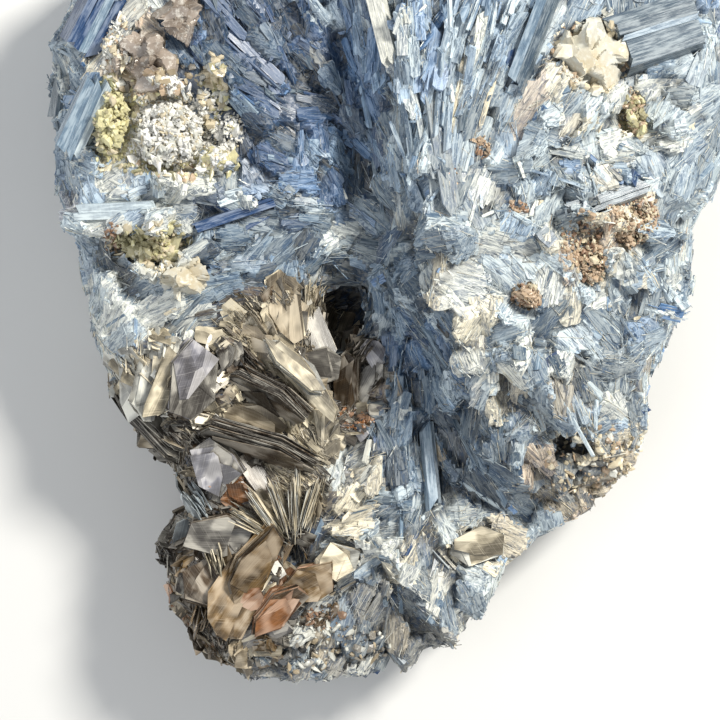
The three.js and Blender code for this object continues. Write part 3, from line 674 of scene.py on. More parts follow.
def lump_material(name, base, light, dark, roughness, see_through=0.0):
    """Quartz: blotched stone with fine sparkle."""
    shader = Shader(name)
    place = shader.node("ShaderNodeTexCoord")["Object"]
    cloud = shader.noise(place, (115,) * 3, 4.0)
    grit = shader.noise(place, (750,) * 3, 3.0, 0.7)
    shader.inputs["IOR"].default_value = 1.54
    shader.inputs["Transmission Weight"].default_value = see_through
    body = shader.layered(dark, (cloud, 0.38, 0.62, 0, 1, base), (grit, 0.5, 0.68, 0, 0.8, light))
    return shader.finished(body, (grit, 0.3, 0.7, roughness, roughness + 0.25), grit, 0.4, 0.0003)


def grain_material():
    """Small crystals that each carry their own tone."""
    shader = Shader("druse")
    tone = shader.tone()
    cloud = shader.noise(shader.node("ShaderNodeTexCoord")["Object"], (700,) * 3)
    darker = shader.mixed(0.3, tone, (0.25, 0.22, 0.17))
    pale = (0.82, 0.8, 0.72)
    body = shader.layered(darker, (cloud, 0.35, 0.6, 0, 1, tone), (cloud, 0.58, 0.7, 0, 0.6, pale))
    return shader.finished(body, (cloud, 0.3, 0.7, 0.25, 0.45), cloud, 0.3, 0.0002)


KYANITE = kyanite_material()
GLASS = glassy_material()
MICA = mica_material()
GRAINS = grain_material()

# ------------------------------------------------------------------ how crystals run


def spray_directions(places, sprays):
    """The way blades run at each place, away from the spray that rules there, and how much they wander."""
    direction = np.zeros_like(places)
    wander = np.zeros(len(places))
    best = np.full(len(places), -1.0)
    for order, spray in enumerate(sprays):
        depth = inside(places, spray)
        rule = np.where((depth > 0) | (order == 0), order + depth, -1)
        wins = rule > best
        direction[wins] = (places / MM - spray["root"])[wins]
        wander[wins] = spray["wander"]
        best[wins] = rule[wins]
    for tangle in TANGLES:
        wander += tangle["wander"] * np.sqrt(inside(places, tangle))
    return unit(direction), wander


def lengthening(places):
    """How many times longer than elsewhere blades grow at each place."""
    times = np.ones(len(places))
    for reach in LONG:
        times += (reach["times"] - 1) * np.sqrt(inside(places, reach))
    return times


# ------------------------------------------------------------------ the core

CORE_VOXEL = 0.96 * MM
CORE_INSET = 0.3 * MM
DOMAINS = 1900
DOMAIN_SLENDER = 1.7  # how much longer than wide domains are, before the blades of the place lengthen them
DOMAIN_TILT, DOMAIN_DIP = 0.17, 0.06  # spread of a domain's lean about its length, and along it
DOMAIN_STEP = 0.4 * MM
MOST_BROKEN = 1.2 * MM
GAP_WIDTH, GAP_DEPTH = 0.7 * MM, 1.2 * MM
STEEPEST = 0.45  # least cosine between the skin and a broken face
UNDERSIDE = 1.2 * MM  # what lies lower than this is pressed flat


def read(items, field, width=1, kind=np.int32):
    """One field of every item of a mesh: a list of numbers, or rows of some width."""
    flat = np.empty(len(items) * width, kind)
    items.foreach_get(field, flat)
    return flat.reshape(-1, width) if width > 1 else flat


def points_of(mesh, field="co"):
    return read(mesh.vertices, field, 3, np.float32).astype(float)


def normals_of(mesh):
    return points_of(mesh, "normal")


def triangles_of(mesh):
    """The corners of a mesh's triangles, its larger faces cut up."""
    mesh.calc_loop_triangles()
    return read(mesh.loop_triangles, "vertices", 3)


def corners_of(points, triangles):
    """Each triangle's first, second and third corner, and the cross product of its sides."""
    a, b, c = (points[triangles[:, k]] for k in range(3))
    return a, b, c, np.cross(b - a, c - a)


def put_points(mesh, points):
    mesh.vertices.foreach_set("co", floats(points))
    mesh.update()


def tree_of(points):
    tree = KDTree(len(points))
    for k, point in enumerate(points):
        tree.insert(point, k)
    tree.balance()
    return tree


def nearest_in(tree, points):
    return np.array([tree.find(point)[1] for point in points])


def remeshed(source, voxel, smoothing):
    """A fresh even mesh over a copy of a CAD node's mesh."""
    scratch = new_object("scratch", source.data.copy())
    grid = scratch.modifiers.new("grid", "REMESH")
    grid.mode, grid.voxel_size = "VOXEL", voxel
    soft = scratch.modifiers.new("soft", "SMOOTH")
    soft.factor, soft.iterations = 0.5, smoothing
    bpy.context.view_layer.update()
    seen = scratch.evaluated_get(bpy.context.evaluated_depsgraph_get())
    made = bpy.data.meshes.new_from_object(seen)
    bpy.data.objects.remove(scratch)
    return made


def chipped(points, normals, count, tilt, step, limit):
    """Points moved along their normals onto broken faces: each face tilts and stands up or down at random."""
    seats = RNG.choice(len(points), count, replace=False)
    tree = tree_of(points[seats])
    nearest = seats[nearest_in(tree, wobbled(points, 0.9 * MM, 3 * MM))]
    facing = unit(normals + RNG.normal(0, tilt, normals.shape))[nearest]
    heights = RNG.normal(0, step, len(points))[nearest]
    slope = np.maximum((normals * facing).sum(1), STEEPEST)
    move = ((points[nearest] - points) * facing).sum(1) / slope + heights
    return points + normals * np.clip(move, -limit, limit)[:, None]


class Bundles:
    """Seeds that share a direction, a tone and a coarseness with what is around them."""

    def __init__(self, seats, patches, blend=0.0):
        self.seats = seats
        self.tree = tree_of(seats)
        self.turn = RNG.normal(0, 1, len(seats))
        self.tone = pick_tones(seats, patches, blend)
        self.shade = RNG.uniform(0.8, 1.15, len(seats))
        self.size = RNG.uniform(0.75, 1.3, len(seats))

    def around(self, places):
        return nearest_in(self.tree, places)


class Domains(Bundles):
    """Blade-shaped domains that cover the core: each has its own direction, tone and broken face."""

    def __init__(self, points, normals, count):
        chosen = RNG.choice(len(points), count, replace=False)
        super().__init__(points[chosen], PATCHES, 0.4)
        self.normals = normals[chosen]
        direction, wander = spray_directions(self.seats, SPRAYS)
        self.along = turned(flush(direction, self.normals), self.normals, np.radians(wander * self.turn))
        self.across = np.cross(self.normals, self.along)
        self.slender = DOMAIN_SLENDER * lengthening(self.seats)

    def reach(self, points, candidates=16):
        """The domain that holds each point, and how far off its border is."""
        near = np.array([[found[1] for found in self.tree.find_n(point, candidates)] for point in points])
        away = points[:, None] - self.seats[near]
        ahead = (away * self.along[near]).sum(2) ** 2 / self.slender[near]
        aside = (away * self.across[near]).sum(2) ** 2 * self.slender[near]
        off = (away * self.normals[near]).sum(2) ** 2
        span = np.sqrt(ahead + aside + off)
        best = np.argsort(span, 1)[:, :2]
        row = np.arange(len(points))
        return near[row, best[:, 0]], (span[row, best[:, 1]] - span[row, best[:, 0]]) / 2

    def around(self, points):
        return self.reach(points)[0]

    def broken(self, points, normals, holder):
        """How far each point moves along its normal to the broken face of the domain that holds it."""
        count = len(self.seats)
        rough = 0.62 + 0.5 * np.sqrt(deepest(self.seats, CREVICED))
        facing = self.normals + RNG.normal(0, DOMAIN_TILT, (count, 1)) * self.across * rough[:, None]
        facing = unit(facing + RNG.normal(0, DOMAIN_DIP, (count, 1)) * self.along)
        heights = RNG.normal(0, DOMAIN_STEP, count) * rough
        slope = np.maximum((normals * facing[holder]).sum(1), STEEPEST)
        move = ((self.seats[holder] - points) * facing[holder]).sum(1) / slope + heights[holder]
        return np.clip(move, -MOST_BROKEN, MOST_BROKEN)


def core_mesh():
    """The core, its domains, and the domain, the height and the share of a gap of each of its points."""
    made = remeshed(frame["nodes"]["kyanite_mass"], CORE_VOXEL, 2)
    made.name = "kyanite_core"
    points, normals = points_of(made), normals_of(made)
    for swell in SWELLS:
        points = points + normals * (swell["height"] * MM * inside(points, swell))[:, None]
    domains = Domains(points, normals, DOMAINS)
    holder, border = domains.reach(wobbled(points, 0.7 * MM, 2.2 * MM))
    heights = domains.broken(points, normals, holder)
    gap = np.clip(1 - border / GAP_WIDTH, 0, 1) * (0.1 + 0.9 * np.sqrt(deepest(points, CREVICED)))
    gap *= np.clip(0.6 + noise(points, 6 * MM, 7), 0, 1)
    heights -= GAP_DEPTH * gap
    for pit in PITS:
        heights -= pit["depth"] * MM * np.sqrt(inside(points, pit))
    moved = points + normals * (heights + 0.1 * MM * noise(points, 1.7 * MM, 2) - CORE_INSET)[:, None]
    moved[points[:, 2] < UNDERSIDE, 2] = 0
    moved[:, 2] = np.maximum(moved[:, 2], 0)
    put_points(made, moved)
    return made, domains, holder, heights, gap


def colour_core():
    """Gives each face of the core the tone and the grain of its domain, with painted shade that darkens it in
    the dips, crevices and pits.
    """
    corners, starts = read(core.loops, "vertex_index"), read(core.polygons, "loop_start")
    sizes = np.diff(np.append(starts, len(corners)))
    holder = np.repeat(HOLDER[corners[starts]], sizes)
    away = (SKIN[corners] - GROUND.seats[holder]) / MM
    through = np.cross(GROUND.along, GROUND.across)
    grain = np.stack([(away * axis[holder]).sum(1) for axis in (GROUND.along, GROUND.across, through)], 1)
    # painted shade and light: each corner's colour follows its height over the skin, darker where it sinks into
    # dips, crevices and pits, a little lighter where it stands out
    shade = np.clip(0.95 + 0.6 * CORE_HEIGHTS / MM, 0.12, 1.1)[corners]
    tone = GROUND.tone[holder] * (shade * GROUND.shade[holder])[:, None]
    set_values(core, tone, grain + RNG.uniform(-FAR, FAR, (DOMAINS, 3))[holder], "CORNER")


core, GROUND, HOLDER, CORE_HEIGHTS, GAPS = core_mesh()
SKIN, SKIN_NORMALS, TRIANGLES = points_of(core), normals_of(core), triangles_of(core)
SKIN_TREE = tree_of(SKIN)
colour_core()
new_piece("kyanite_core", core, KYANITE, ["kyanite_mass"])

# ------------------------------------------------------------------ places on the skin


def other_crystals():
    """A search tree over the faces of every CAD crystal but the mass."""
    points, faces, total = [], [], 0
    for name, item in frame["nodes"].items():
        if name == "kyanite_mass":
            continue
        points.append(points_of(item.data))
        faces.append(triangles_of(item.data) + total)
        total += len(points[-1])
    return BVHTree.FromPolygons(np.concatenate(points).tolist(), np.concatenate(faces).tolist())


CRYSTALS = other_crystals()


def room_around(places):
    """The distance from each place to the nearest CAD crystal."""
    return np.array([CRYSTALS.find_nearest(place)[3] for place in places])


def scatter(count, weigh):
    """Random places over the skin and its normals there. weigh gives a density from places and normals."""
    a, b, c, crossed = corners_of(SKIN, TRIANGLES)
    middles = (a + b + c) / 3
    odds = np.linalg.norm(crossed, axis=1) * np.where(middles[:, 2] < LOWEST_BLADE, 0, 1)
    odds *= 1 - 0.85 * GAPS[TRIANGLES].max(1)
    odds *= weigh(middles, unit(crossed))
    chosen = RNG.choice(len(TRIANGLES), count, p=odds / odds.sum())
    r, s = np.sqrt(RNG.random(count))[:, None], RNG.random(count)[:, None]
    shares = np.stack([1 - r, r * (1 - s), r * s], 1)
    places = (SKIN[TRIANGLES[chosen]] * shares).sum(1)
    normals = unit((SKIN_NORMALS[TRIANGLES[chosen]] * shares).sum(1))
    return places, normals


def overhang(seats, along, lengths):
    """How far the further end of each blade stands out from the skin."""
    out = []
    for side in (-1, 1):
        ends = seats + along * side * lengths / 2
        nearest = nearest_in(SKIN_TREE, ends)
        out.append(((ends - SKIN[nearest]) * SKIN_NORMALS[nearest]).sum(1))
    return np.maximum(*out)


def out_of_pits(places):
    return np.clip(1 - 1.3 * deepest(places, PITS), 0.1, 1)


def blade_density(places, normals):
    """More blades on the upper face than on the flanks, and few among the crumbs, the mica and the pits."""
    up = np.clip(normals[:, 2] * 0.7 + 0.5, 0.2, 1)
    bare = np.clip(1 - 3.2 * deepest(places, MICA_FIELDS), 0.015, 1) * out_of_pits(places)
    return up * bare * np.clip(1 - 1.7 * deepest(places, CRUMBS), 0.12, 1)


# ------------------------------------------------------------------ plates of blades

KYANITE_GROUND = {"sprays": SPRAYS, "patches": PATCHES, "rough": 0.02, "mixing": 0.4, "own": 0.15}
SLABS = {"count": 2000, "length": (4, 16), "width": (0.8, 3.2), "thick": (0.5, 0.9), "lift": (-0.14, 0.08)}
BARS = {"count": 1500, "length": (4, 18), "width": (0.3, 0.9), "thick": (0.5, 0.9), "lift": (-0.12, 0.14)}
GLASSY = {"count": 170, "length": (6, 15), "width": (1.0, 2.2), "thick": (0.8, 1.2), "lift": (0.0, 0.3)}
REEDS = {"count": 380, "length": (12, 38), "width": (0.8, 3.2), "thick": (0.9, 1.3), "lift": (0.0, 0.5),
         "slack": 0.9}
HAIRS = {"count": 16000, "length": (1.6, 8), "width": (0.1, 0.24), "thick": (0.2, 0.3)}
HAIR_SLACK = 0.8 * MM
FIBRE_PIECES = 3
WILD_HAIRS = 0.12  # share of the hairs that cross the others
LOWEST_BLADE = 1.5 * MM
SLAB_OUTLINE = np.array([
    (-0.95, -0.5), (-0.86, -1), (0.88, -1), (0.97, -0.4), (1, 0.2), (0.9, 1), (-0.84, 1), (-1, 0.3),
])


def sheaf_density(places, normals):
    """Places in the well-aligned sheaf."""
    return blade_density(places, normals) * inside(places, area(10, 66, 26, 46))


def uniform(limits, count, skew=1.6):
    """Random sizes between two limits, more of them near the lower one."""
    return limits[0] + (limits[1] - limits[0]) * RNG.random(count) ** skew


def lay_plates(kind, ground, bundles, density, loose):
    """Flat plates on the skin: where they are, how they point, how large they are and their tones."""
    count = kind["count"]
    seats, normals = scatter(count, density)
    nearest = bundles.around(seats + RNG.normal(0, ground.get("mixing", 1.1) * MM, seats.shape))
    direction, wander = spray_directions(seats, ground["sprays"])
    angles = wander * bundles.turn[nearest] + RNG.normal(0, loose, count) * np.clip(wander / 15, 0.35, 1.3)
    facing = unit(normals + RNG.normal(0, ground["rough"], normals.shape))
    along = turned(flush(direction, facing), facing, np.radians(angles))
    scale = bundles.size[nearest]
    longer = lengthening(seats)
    sizes = np.stack([uniform(kind[key], count, 1.4) for key in ("length", "width", "thick")], 1)
    sizes *= np.stack([scale * longer, scale, np.ones(count)], 1) * MM
    sizes[:, 0] = np.minimum(sizes[:, 0], 2 * room_around(seats) + 2.4 * MM)
    sizes[:, 1] = np.minimum(sizes[:, 1], 0.5 * sizes[:, 0])
    slack = np.where(facing[:, 2] < 0.7, 0.35, kind.get("slack", 0.5) * (0.2 + 0.8 * longer)) * MM
    for _ in range(5):
        sizes[:, 0] *= np.where(overhang(seats, along, sizes[:, :1]) > slack, 0.7, 1)
    tones = bundles.tone[nearest]
    own = RNG.random(count) < ground.get("own", 0.35)
    tones[own] = pick_tones(seats[own], ground["patches"])
    tones = tones * (bundles.shade[nearest] * RNG.uniform(0.9, 1.1, count))[:, None]
    lift = RNG.uniform(*kind["lift"], count) * MM - sizes[:, 2] / 2
    return [seats + facing * lift[:, None], along, np.cross(facing, along), sizes, np.clip(tones, 0, 0.9)]


def top_faces(centres, along, across, sizes):
    """The four corners of each lath's upper face."""
    through = np.cross(along, across)
    corners = []
    for end, side in ((-1, -1), (1, -1), (1, 1), (-1, 1)):
        reach = along * end * sizes[:, :1] + across * side * sizes[:, 1:2] + through * sizes[:, 2:]
        corners.append(centres + reach / 2)
    return np.stack(corners, 1)


def lay_hairs(kind, laths):
    """Fine fibres that lie on whatever shows from outside, nearly in line with what is below them."""
    centres, along, across, sizes, tones = laths
    quads = top_faces(centres, along, across, sizes)
    faces = np.arange(len(quads) * 4).reshape(-1, 4)
    outside = BVHTree.FromPolygons(quads.reshape(-1, 3).tolist(), faces.tolist())
    count = kind["count"]
    found, normals = scatter(count, blade_density)
    holder = GROUND.around(found)
    facing, ahead, own = normals.copy(), GROUND.along[holder], GROUND.tone[holder]
    for k, (seat, normal) in enumerate(zip(found.copy(), normals)):
        place, face, index, _ = outside.ray_cast(seat + normal * 3 * MM, -normal, 3 * MM)
        if place is not None:
            found[k], ahead[k], own[k] = place, along[index], tones[index]
            facing[k] = face if face.dot(normal) > 0 else -face
    wild = RNG.random(count) < WILD_HAIRS
    angles = np.radians(np.where(wild, RNG.normal(0, 50, count), RNG.normal(0, 6, count)))
    ahead = turned(flush(ahead, facing), facing, angles)
    side = np.cross(facing, ahead)
    ahead = turned(ahead, side, np.radians(RNG.normal(0, 1.6, count)))
    size = np.stack([uniform(kind[key], count) for key in ("length", "width", "thick")], 1) * MM
    size[:, 0] *= np.where(overhang(found, ahead, size[:, :1]) > HAIR_SLACK, 0.5, 1)
    places = found + facing * (RNG.uniform(-0.14, 0.0, count) * MM)[:, None]
    pale = pick_tones(found, HAIR_PATCHES, 0.3)
    tone = np.where(RNG.random((count, 1)) < 0.5, pale, own) * RNG.uniform(0.8, 1.15, (count, 1))
    return places, ahead, side, size, np.clip(tone, 0, 0.9)


def share_out(add, stem, material, slot, items, pieces):
    """Deals blades out to several pieces that each span the whole object."""
    number = np.arange(len(items[0])) % pieces
    for part in range(pieces):
        pile = Pile()
        add(pile, *(values[number == part] for values in items))
        pile.piece(f"{stem}_{part + 1}", material, slot)


def add_slabs(pile, centres, along, across, sizes, tones):
    """Adds eight-sided plates with ragged ends to a pile."""
    outline = SLAB_OUTLINE + RNG.uniform(-1, 1, (len(centres), 8, 2)) * (0.05, 0.12)
    add_prisms(pile, outline, centres, along, across, sizes, tones)


def grow_kyanite():
    slabs = lay_plates(SLABS, KYANITE_GROUND, GROUND, blade_density, 3)
    bars = lay_plates(BARS, KYANITE_GROUND, GROUND, blade_density, 4)
    glassy = lay_plates(GLASSY, KYANITE_GROUND, GROUND, blade_density, 22)
    reeds = lay_plates(REEDS, KYANITE_GROUND, GROUND, sheaf_density, 3)
    share_out(add_slabs, "kyanite_slabs", KYANITE, "kyanite", slabs, FIBRE_PIECES)
    share_out(add_blades, "kyanite_blades", KYANITE, "kyanite", bars, FIBRE_PIECES)
    glassy[4] = pick_tones(glassy[0], GLASSY_PATCHES)
    share_out(add_blades, "kyanite_glassy", GLASS, "kyanite_deep", glassy, 1)
    share_out(add_blades, "kyanite_reeds", KYANITE, "kyanite", reeds, 1)
    laths = [np.concatenate(trio) for trio in zip(slabs, bars, reeds)]
    share_out(add_hairs, "kyanite_hairs", KYANITE, "kyanite_pale", lay_hairs(HAIRS, laths), FIBRE_PIECES)


grow_kyanite()

# ------------------------------------------------------------------ mica

def node_axes(name):
    """A CAD crystal's middle, its three axes (along, across, through) and its size along each."""
    mesh = frame["nodes"][name].data
    points = points_of(mesh)
    a, b, c, areas = corners_of(points, triangles_of(mesh))
    normals = unit(areas)
    weights = np.linalg.norm(areas, axis=1)
    alike = np.abs(normals @ normals.T) > 0.995
    through = normals[np.argmax(alike @ weights)]
    edges = np.concatenate([b - a, c - b, a - c])
    flat = edges - (edges @ through)[:, None] * through
    true = np.linalg.norm(flat, axis=1) > 0.98 * np.linalg.norm(edges, axis=1)
    along = unit(flat[true][np.argmax(np.linalg.norm(flat[true], axis=1))])
    through = through * (1 if through[2] >= 0 else -1)
    across = np.cross(through, along)
    axes = np.array([along, across, through])
    local = points @ axes.T
    low, high = local.min(0), local.max(0)
    return ((low + high) / 2) @ axes, axes, high - low


BOOK_TONES = {
    "mica_book_lavender": ("lilac", "smoke"), "mica_book_upper_bar": ("umber", "brown"),
    "mica_book_lower_bar": ("umber", "brown"), "mica_book_recess": ("beige", "brown"),
    "mica_leaf_ivory": ("white", "ivory"), "mica_leaf_upright": ("beige", "smoke"),
    "mica_plate_grey": ("smoke", "lilac"), "mica_plate_brown": ("brown", "umber"),
    "mica_book_blue_grey": ("smoke", "lilac"), "mica_book_rim": ("smoke", "umber"),
    "mica_book_lobe_top": ("brown", "smoke"), "mica_plate_golden": ("gold", "brown"),
    "mica_plate_tan": ("brown", "gold"), "mica_plate_amber": ("amber", "brown"),
    "mica_plate_honey": ("gold", "amber"), "mica_plate_ivory_cracked": ("ivory", "white"),
    "mica_plate_pink": ("white", "cream"),
}


def hull_of(flat):
    """The convex outline round flat points, counterclockwise."""
    order = sorted(map(tuple, flat.round(6)))
    rims = []
    for walk in (order, order[::-1]):
        rim = []
        for point in walk:
            while len(rim) > 1:
                (ax, ay), (bx, by) = rim[-2], rim[-1]
                if (bx - ax) * (point[1] - ay) - (by - ay) * (point[0] - ax) > 0:
                    break
                rim.pop()
            rim.append(point)
        rims += rim[:-1]
    return np.array(rims)


def trimmed(outline, sides):
    """An outline with its flattest corners left out until it has no more than some number of sides."""
    outline = list(outline)
    while len(outline) > sides:
        around = [(outline[k - 1], outline[k], outline[(k + 1) % len(outline)]) for k in range(len(outline))]
        areas = [abs((b[0] - a[0]) * (c[1] - a[1]) - (b[1] - a[1]) * (c[0] - a[0])) for a, b, c in around]
        outline.pop(int(np.argmin(areas)))
    return np.array(outline)


BOOK_SIDES = 9
LEAF_THICKNESS = 0.25 * MM


def two_toned(names, chance, dark, light, count):
    """The first of two tones, or by chance the second, in shades from dark to light."""
    first, second = (TONES[name] for name in names)
    tones = np.where(RNG.random((count, 1)) < chance, second, first) * RNG.uniform(dark, light, (count, 1))
    return np.clip(tones, 0, 0.95)


def broken_short(outlines, chance, depth):
    """Cuts some of the outlines straight across, at a random side and depth."""
    count = len(outlines)
    turn = RNG.uniform(0, 2 * np.pi, count)
    cut = np.stack([np.cos(turn), np.sin(turn)], 1)
    beyond = np.einsum("nsk,nk->ns", outlines, cut) - RNG.uniform(*depth, count)[:, None]
    short = RNG.random(count) < chance
    return outlines - np.where(short[:, None], np.maximum(beyond, 0), 0)[:, :, None] * cut[:, None]


def stack_leaves(pile, middle, axes, size, outline, tones, whole=0.0, split=False):
    """Adds a book of thin leaves, the outer ones broken short. Axes run along, across and through it."""
    count = max(4, int(size[2] / LEAF_THICKNESS) * (9 if split else 1))
    steps = (np.arange(count) + 0.5) / count - 0.5
    outlines = outline + RNG.normal(0, 0.02, (count, len(outline), 2))
    outer = np.clip(np.abs(steps) * 2.4 - 0.3, 0.15, 1) * (1 - whole)
    for _ in range(3):
        outlines = broken_short(outlines, outer, (0.2, 0.95))
    spin = np.radians(RNG.normal(0, 1.5, count))
    through = unit(axes[2] + RNG.normal(0, 0.014, (count, 3)))
    along = unit(axes[0] - (through @ axes[0])[:, None] * through)
    along = turned(along, through, spin)
    centres = middle + steps[:, None] * size[2] * axes[2]
    sizes = np.tile([size[0], size[1], size[2] / count], (count, 1))
    sizes[:, 2] *= RNG.uniform(0.55, 1.05, count)
    if split:
        narrow = RNG.uniform(0.04, 0.26, count)
        centres += (RNG.uniform(-0.5, 0.5, count) * (1 - narrow) * size[1])[:, None] * axes[1]
        centres += (RNG.uniform(-0.16, 0.16, count) * size[0])[:, None] * axes[0]
        along = turned(along, through, RNG.normal(0, 0.09, count))
        sizes *= np.column_stack([RNG.uniform(0.4, 0.95, count), narrow, np.full(count, 4.0)])
    colours = two_toned(tones, 0.25, 0.75, 1.2, count)
    add_prisms(pile, outlines, centres, along, np.cross(through, along), sizes, colours)


def book_leaves(name):
    """A mica book as a stack of leaves with its CAD solid's outline."""
    middle, axes, size = node_axes(name)
    local = (points_of(frame["nodes"][name].data) - middle) @ axes.T
    outline = trimmed(hull_of(local[:, :2] / (size[:2] / 2)), BOOK_SIDES)
    pile = Pile()
    tones = BOOK_TONES.get(name, ("ivory", "white"))
    stack_leaves(pile, middle, axes, size * (1.16, 1.16, 1), outline, tones, 0, "rosette" in name)
    pile.piece(name + "_leaves", MICA, slot_of(name), [name])


# Smaller books between the CAD ones: middle; heading, roll and pitch in degrees; length, width and thickness;
# height over the core; and two tones.
SMALL_BOOKS = [
    (-32, -70, 58, 12, -10, 23, 10, 1.8, 1.2, "gold", "brown"),
    (-40.5, -68, 80, -12, 6, 15, 11, 1.6, 0.8, "brown", "gold"),
    (-33, -75, 42, 16, 8, 12, 5.5, 1.4, 1.4, "amber", "brown"),
    (-24, -72.5, 64, 18, -6, 11, 7, 1.4, 1.4, "amber", "cream"),
    (-38, -58, 15, -14, 8, 13, 8, 1.4, 0.8, "smoke", "brown"),
    (-44.5, -60, 75, 10, 14, 9, 6, 1.2, 0.8, "pale", "smoke"),
    (-28.5, -80, 20, 0, 16, 13, 6, 1.2, 0.6, "smoke", "umber"),
    (-56.5, -26, 94, -8, 4, 17, 5.5, 1.2, 0.9, "white", "ivory"),
    (-53, -25.5, 79, 6, 4, 18, 6, 1.2, 1.5, "white", "ivory"),
    (-49.5, -26.5, 66, 14, 4, 17, 5, 1.2, 1.7, "cream", "white"),
    (-48.5, -38, 8, 20, 0, 16, 4.5, 1.4, 1.4, "beige", "ivory"),
    (-20, -24, -47, 24, -4, 22, 6, 1.2, 2.2, "ivory", "beige"),
    (-30, -13, 62, -14, 8, 16, 7.5, 1.6, 0.9, "beige", "ivory"),
    (-23.5, -9.5, 96, 12, 10, 15, 7, 1.6, 0.9, "ivory", "beige"),
    (-17, -14, 112, 16, -6, 14, 6.5, 1.6, 1.1, "beige", "smoke"),
    (-26, -17, 128, -10, 10, 14, 6, 1.4, 1.4, "ivory", "brown"),
    (-9, -20, 84, 24, 6, 14, 6, 1.4, 0.8, "umber", "brown"),
    (-5.5, -26, 60, -18, 6, 9, 5, 1.2, 0.8, "smoke", "umber"),
    (-3, -20, 120, 10, 20, 8, 5, 1.2, 0.6, "lilac", "slate"),
    (-14, -37, 100, 14, 0, 13, 5, 1.4, 1.0, "ivory", "beige"),
    (-37, -44, -42, -24, 0, 13, 6, 1.4, 1.0, "umber", "brown"),
    (-30, -46, 118, 20, 0, 13, 5, 1.4, 0.8, "brown", "umber"),
]
BOOK_OUTLINE = np.array([
    (-1, -0.35), (-0.7, -0.95), (0.45, -1), (0.95, -0.6), (1, 0.15), (0.75, 0.9), (-0.35, 1), (-0.9, 0.6),
])


def small_books():
    """Books that fill the ground between the CAD ones."""
    ground = BVHTree.FromPolygons(SKIN.tolist(), TRIANGLES.tolist())
    pile = Pile()
    for x, y, heading, roll, pitch, length, width, thick, lift, first, second in SMALL_BOOKS:
        over = np.array([x, y, 200.0]) * MM
        place = np.array(ground.ray_cast(over, (0, 0, -1))[0]) + (0, 0, lift * MM)
        heading, roll, pitch = np.radians([heading, roll, pitch])
        flat = np.array([math.cos(heading), math.sin(heading), 0])
        across = np.array([-math.sin(heading), math.cos(heading), 0])
        along = flat * math.cos(pitch) + np.array([0, 0, math.sin(pitch)])
        through = unit(np.cross(along, across * math.cos(roll) + np.array([0, 0, math.sin(roll)])))
        axes = np.array([along, np.cross(through, along), through])
        outline = BOOK_OUTLINE + RNG.uniform(-0.26, 0.26, (8, 2))
        stack_leaves(pile, place, axes, np.array([length, width, thick]) * MM, outline, (first, second), 0.5)
    pile.piece("mica_small_books", MICA, "mica_smoky")


def slot_of(name):
    parts = frame["record"]["subparts"]
    return next(part["material_slot"] for part in parts if part["node"] == name)


def flake_density(places, normals):
    ground = np.clip(3 * deepest(places, MICA_FIELDS), 0, 1) * out_of_pits(places)
    return ground * np.clip(normals[:, 2] + 0.6, 0.2, 1)


MICA_GROUND = {"sprays": MICA_SPRAYS, "patches": MICA_FIELDS, "rough": 0.28}
MICA_SLABS = {"count": 620, "length": (6, 17), "width": (2.4, 8), "thick": (0.3, 0.6), "lift": (-0.1, 0.6)}
MICA_LATHS = {"count": 1300, "length": (4, 12), "width": (0.3, 1.1), "thick": (0.3, 0.5), "lift": (-0.1, 0.7)}
MICA_FIBRES = {"count": 9000, "length": (2, 9), "width": (0.12, 0.36), "thick": (0.2, 0.3), "lift": (0, 0.9)}
FIBROUS = [
    area(-22, -13, 14, 9), area(-20, -52, 11, 13), area(-17, -33, 8, 10),
    area(-52, -38, 12, 6), area(-34, -80, 16, 5),
]
MICA_BUNDLES = 90
FLAKE_STACKS = 130
FLAKES = 2400
FLAKE_OUTLINE = np.array([(-1, -0.5), (0.1, -1), (1, -0.6), (0.9, 0.5), (0, 1), (-0.9, 0.6)])


def fibre_density(places, normals):
    return flake_density(places, normals) * (0.06 + deepest(places, FIBROUS))


def grow_mica():
    bundles = Bundles(scatter(MICA_BUNDLES, flake_density)[0], MICA_FIELDS)
    for name, kind in (("mica_slabs", MICA_SLABS), ("mica_laths", MICA_LATHS)):
        laid = lay_plates(kind, MICA_GROUND, bundles, flake_density, 12)
        share_out(add_slabs, name, MICA, "mica_smoky", laid, 1)
    fibres = lay_plates(MICA_FIBRES, MICA_GROUND, bundles, fibre_density, 9)
    share_out(add_hairs, "mica_fibres", MICA, "mica_pale", fibres, 1)


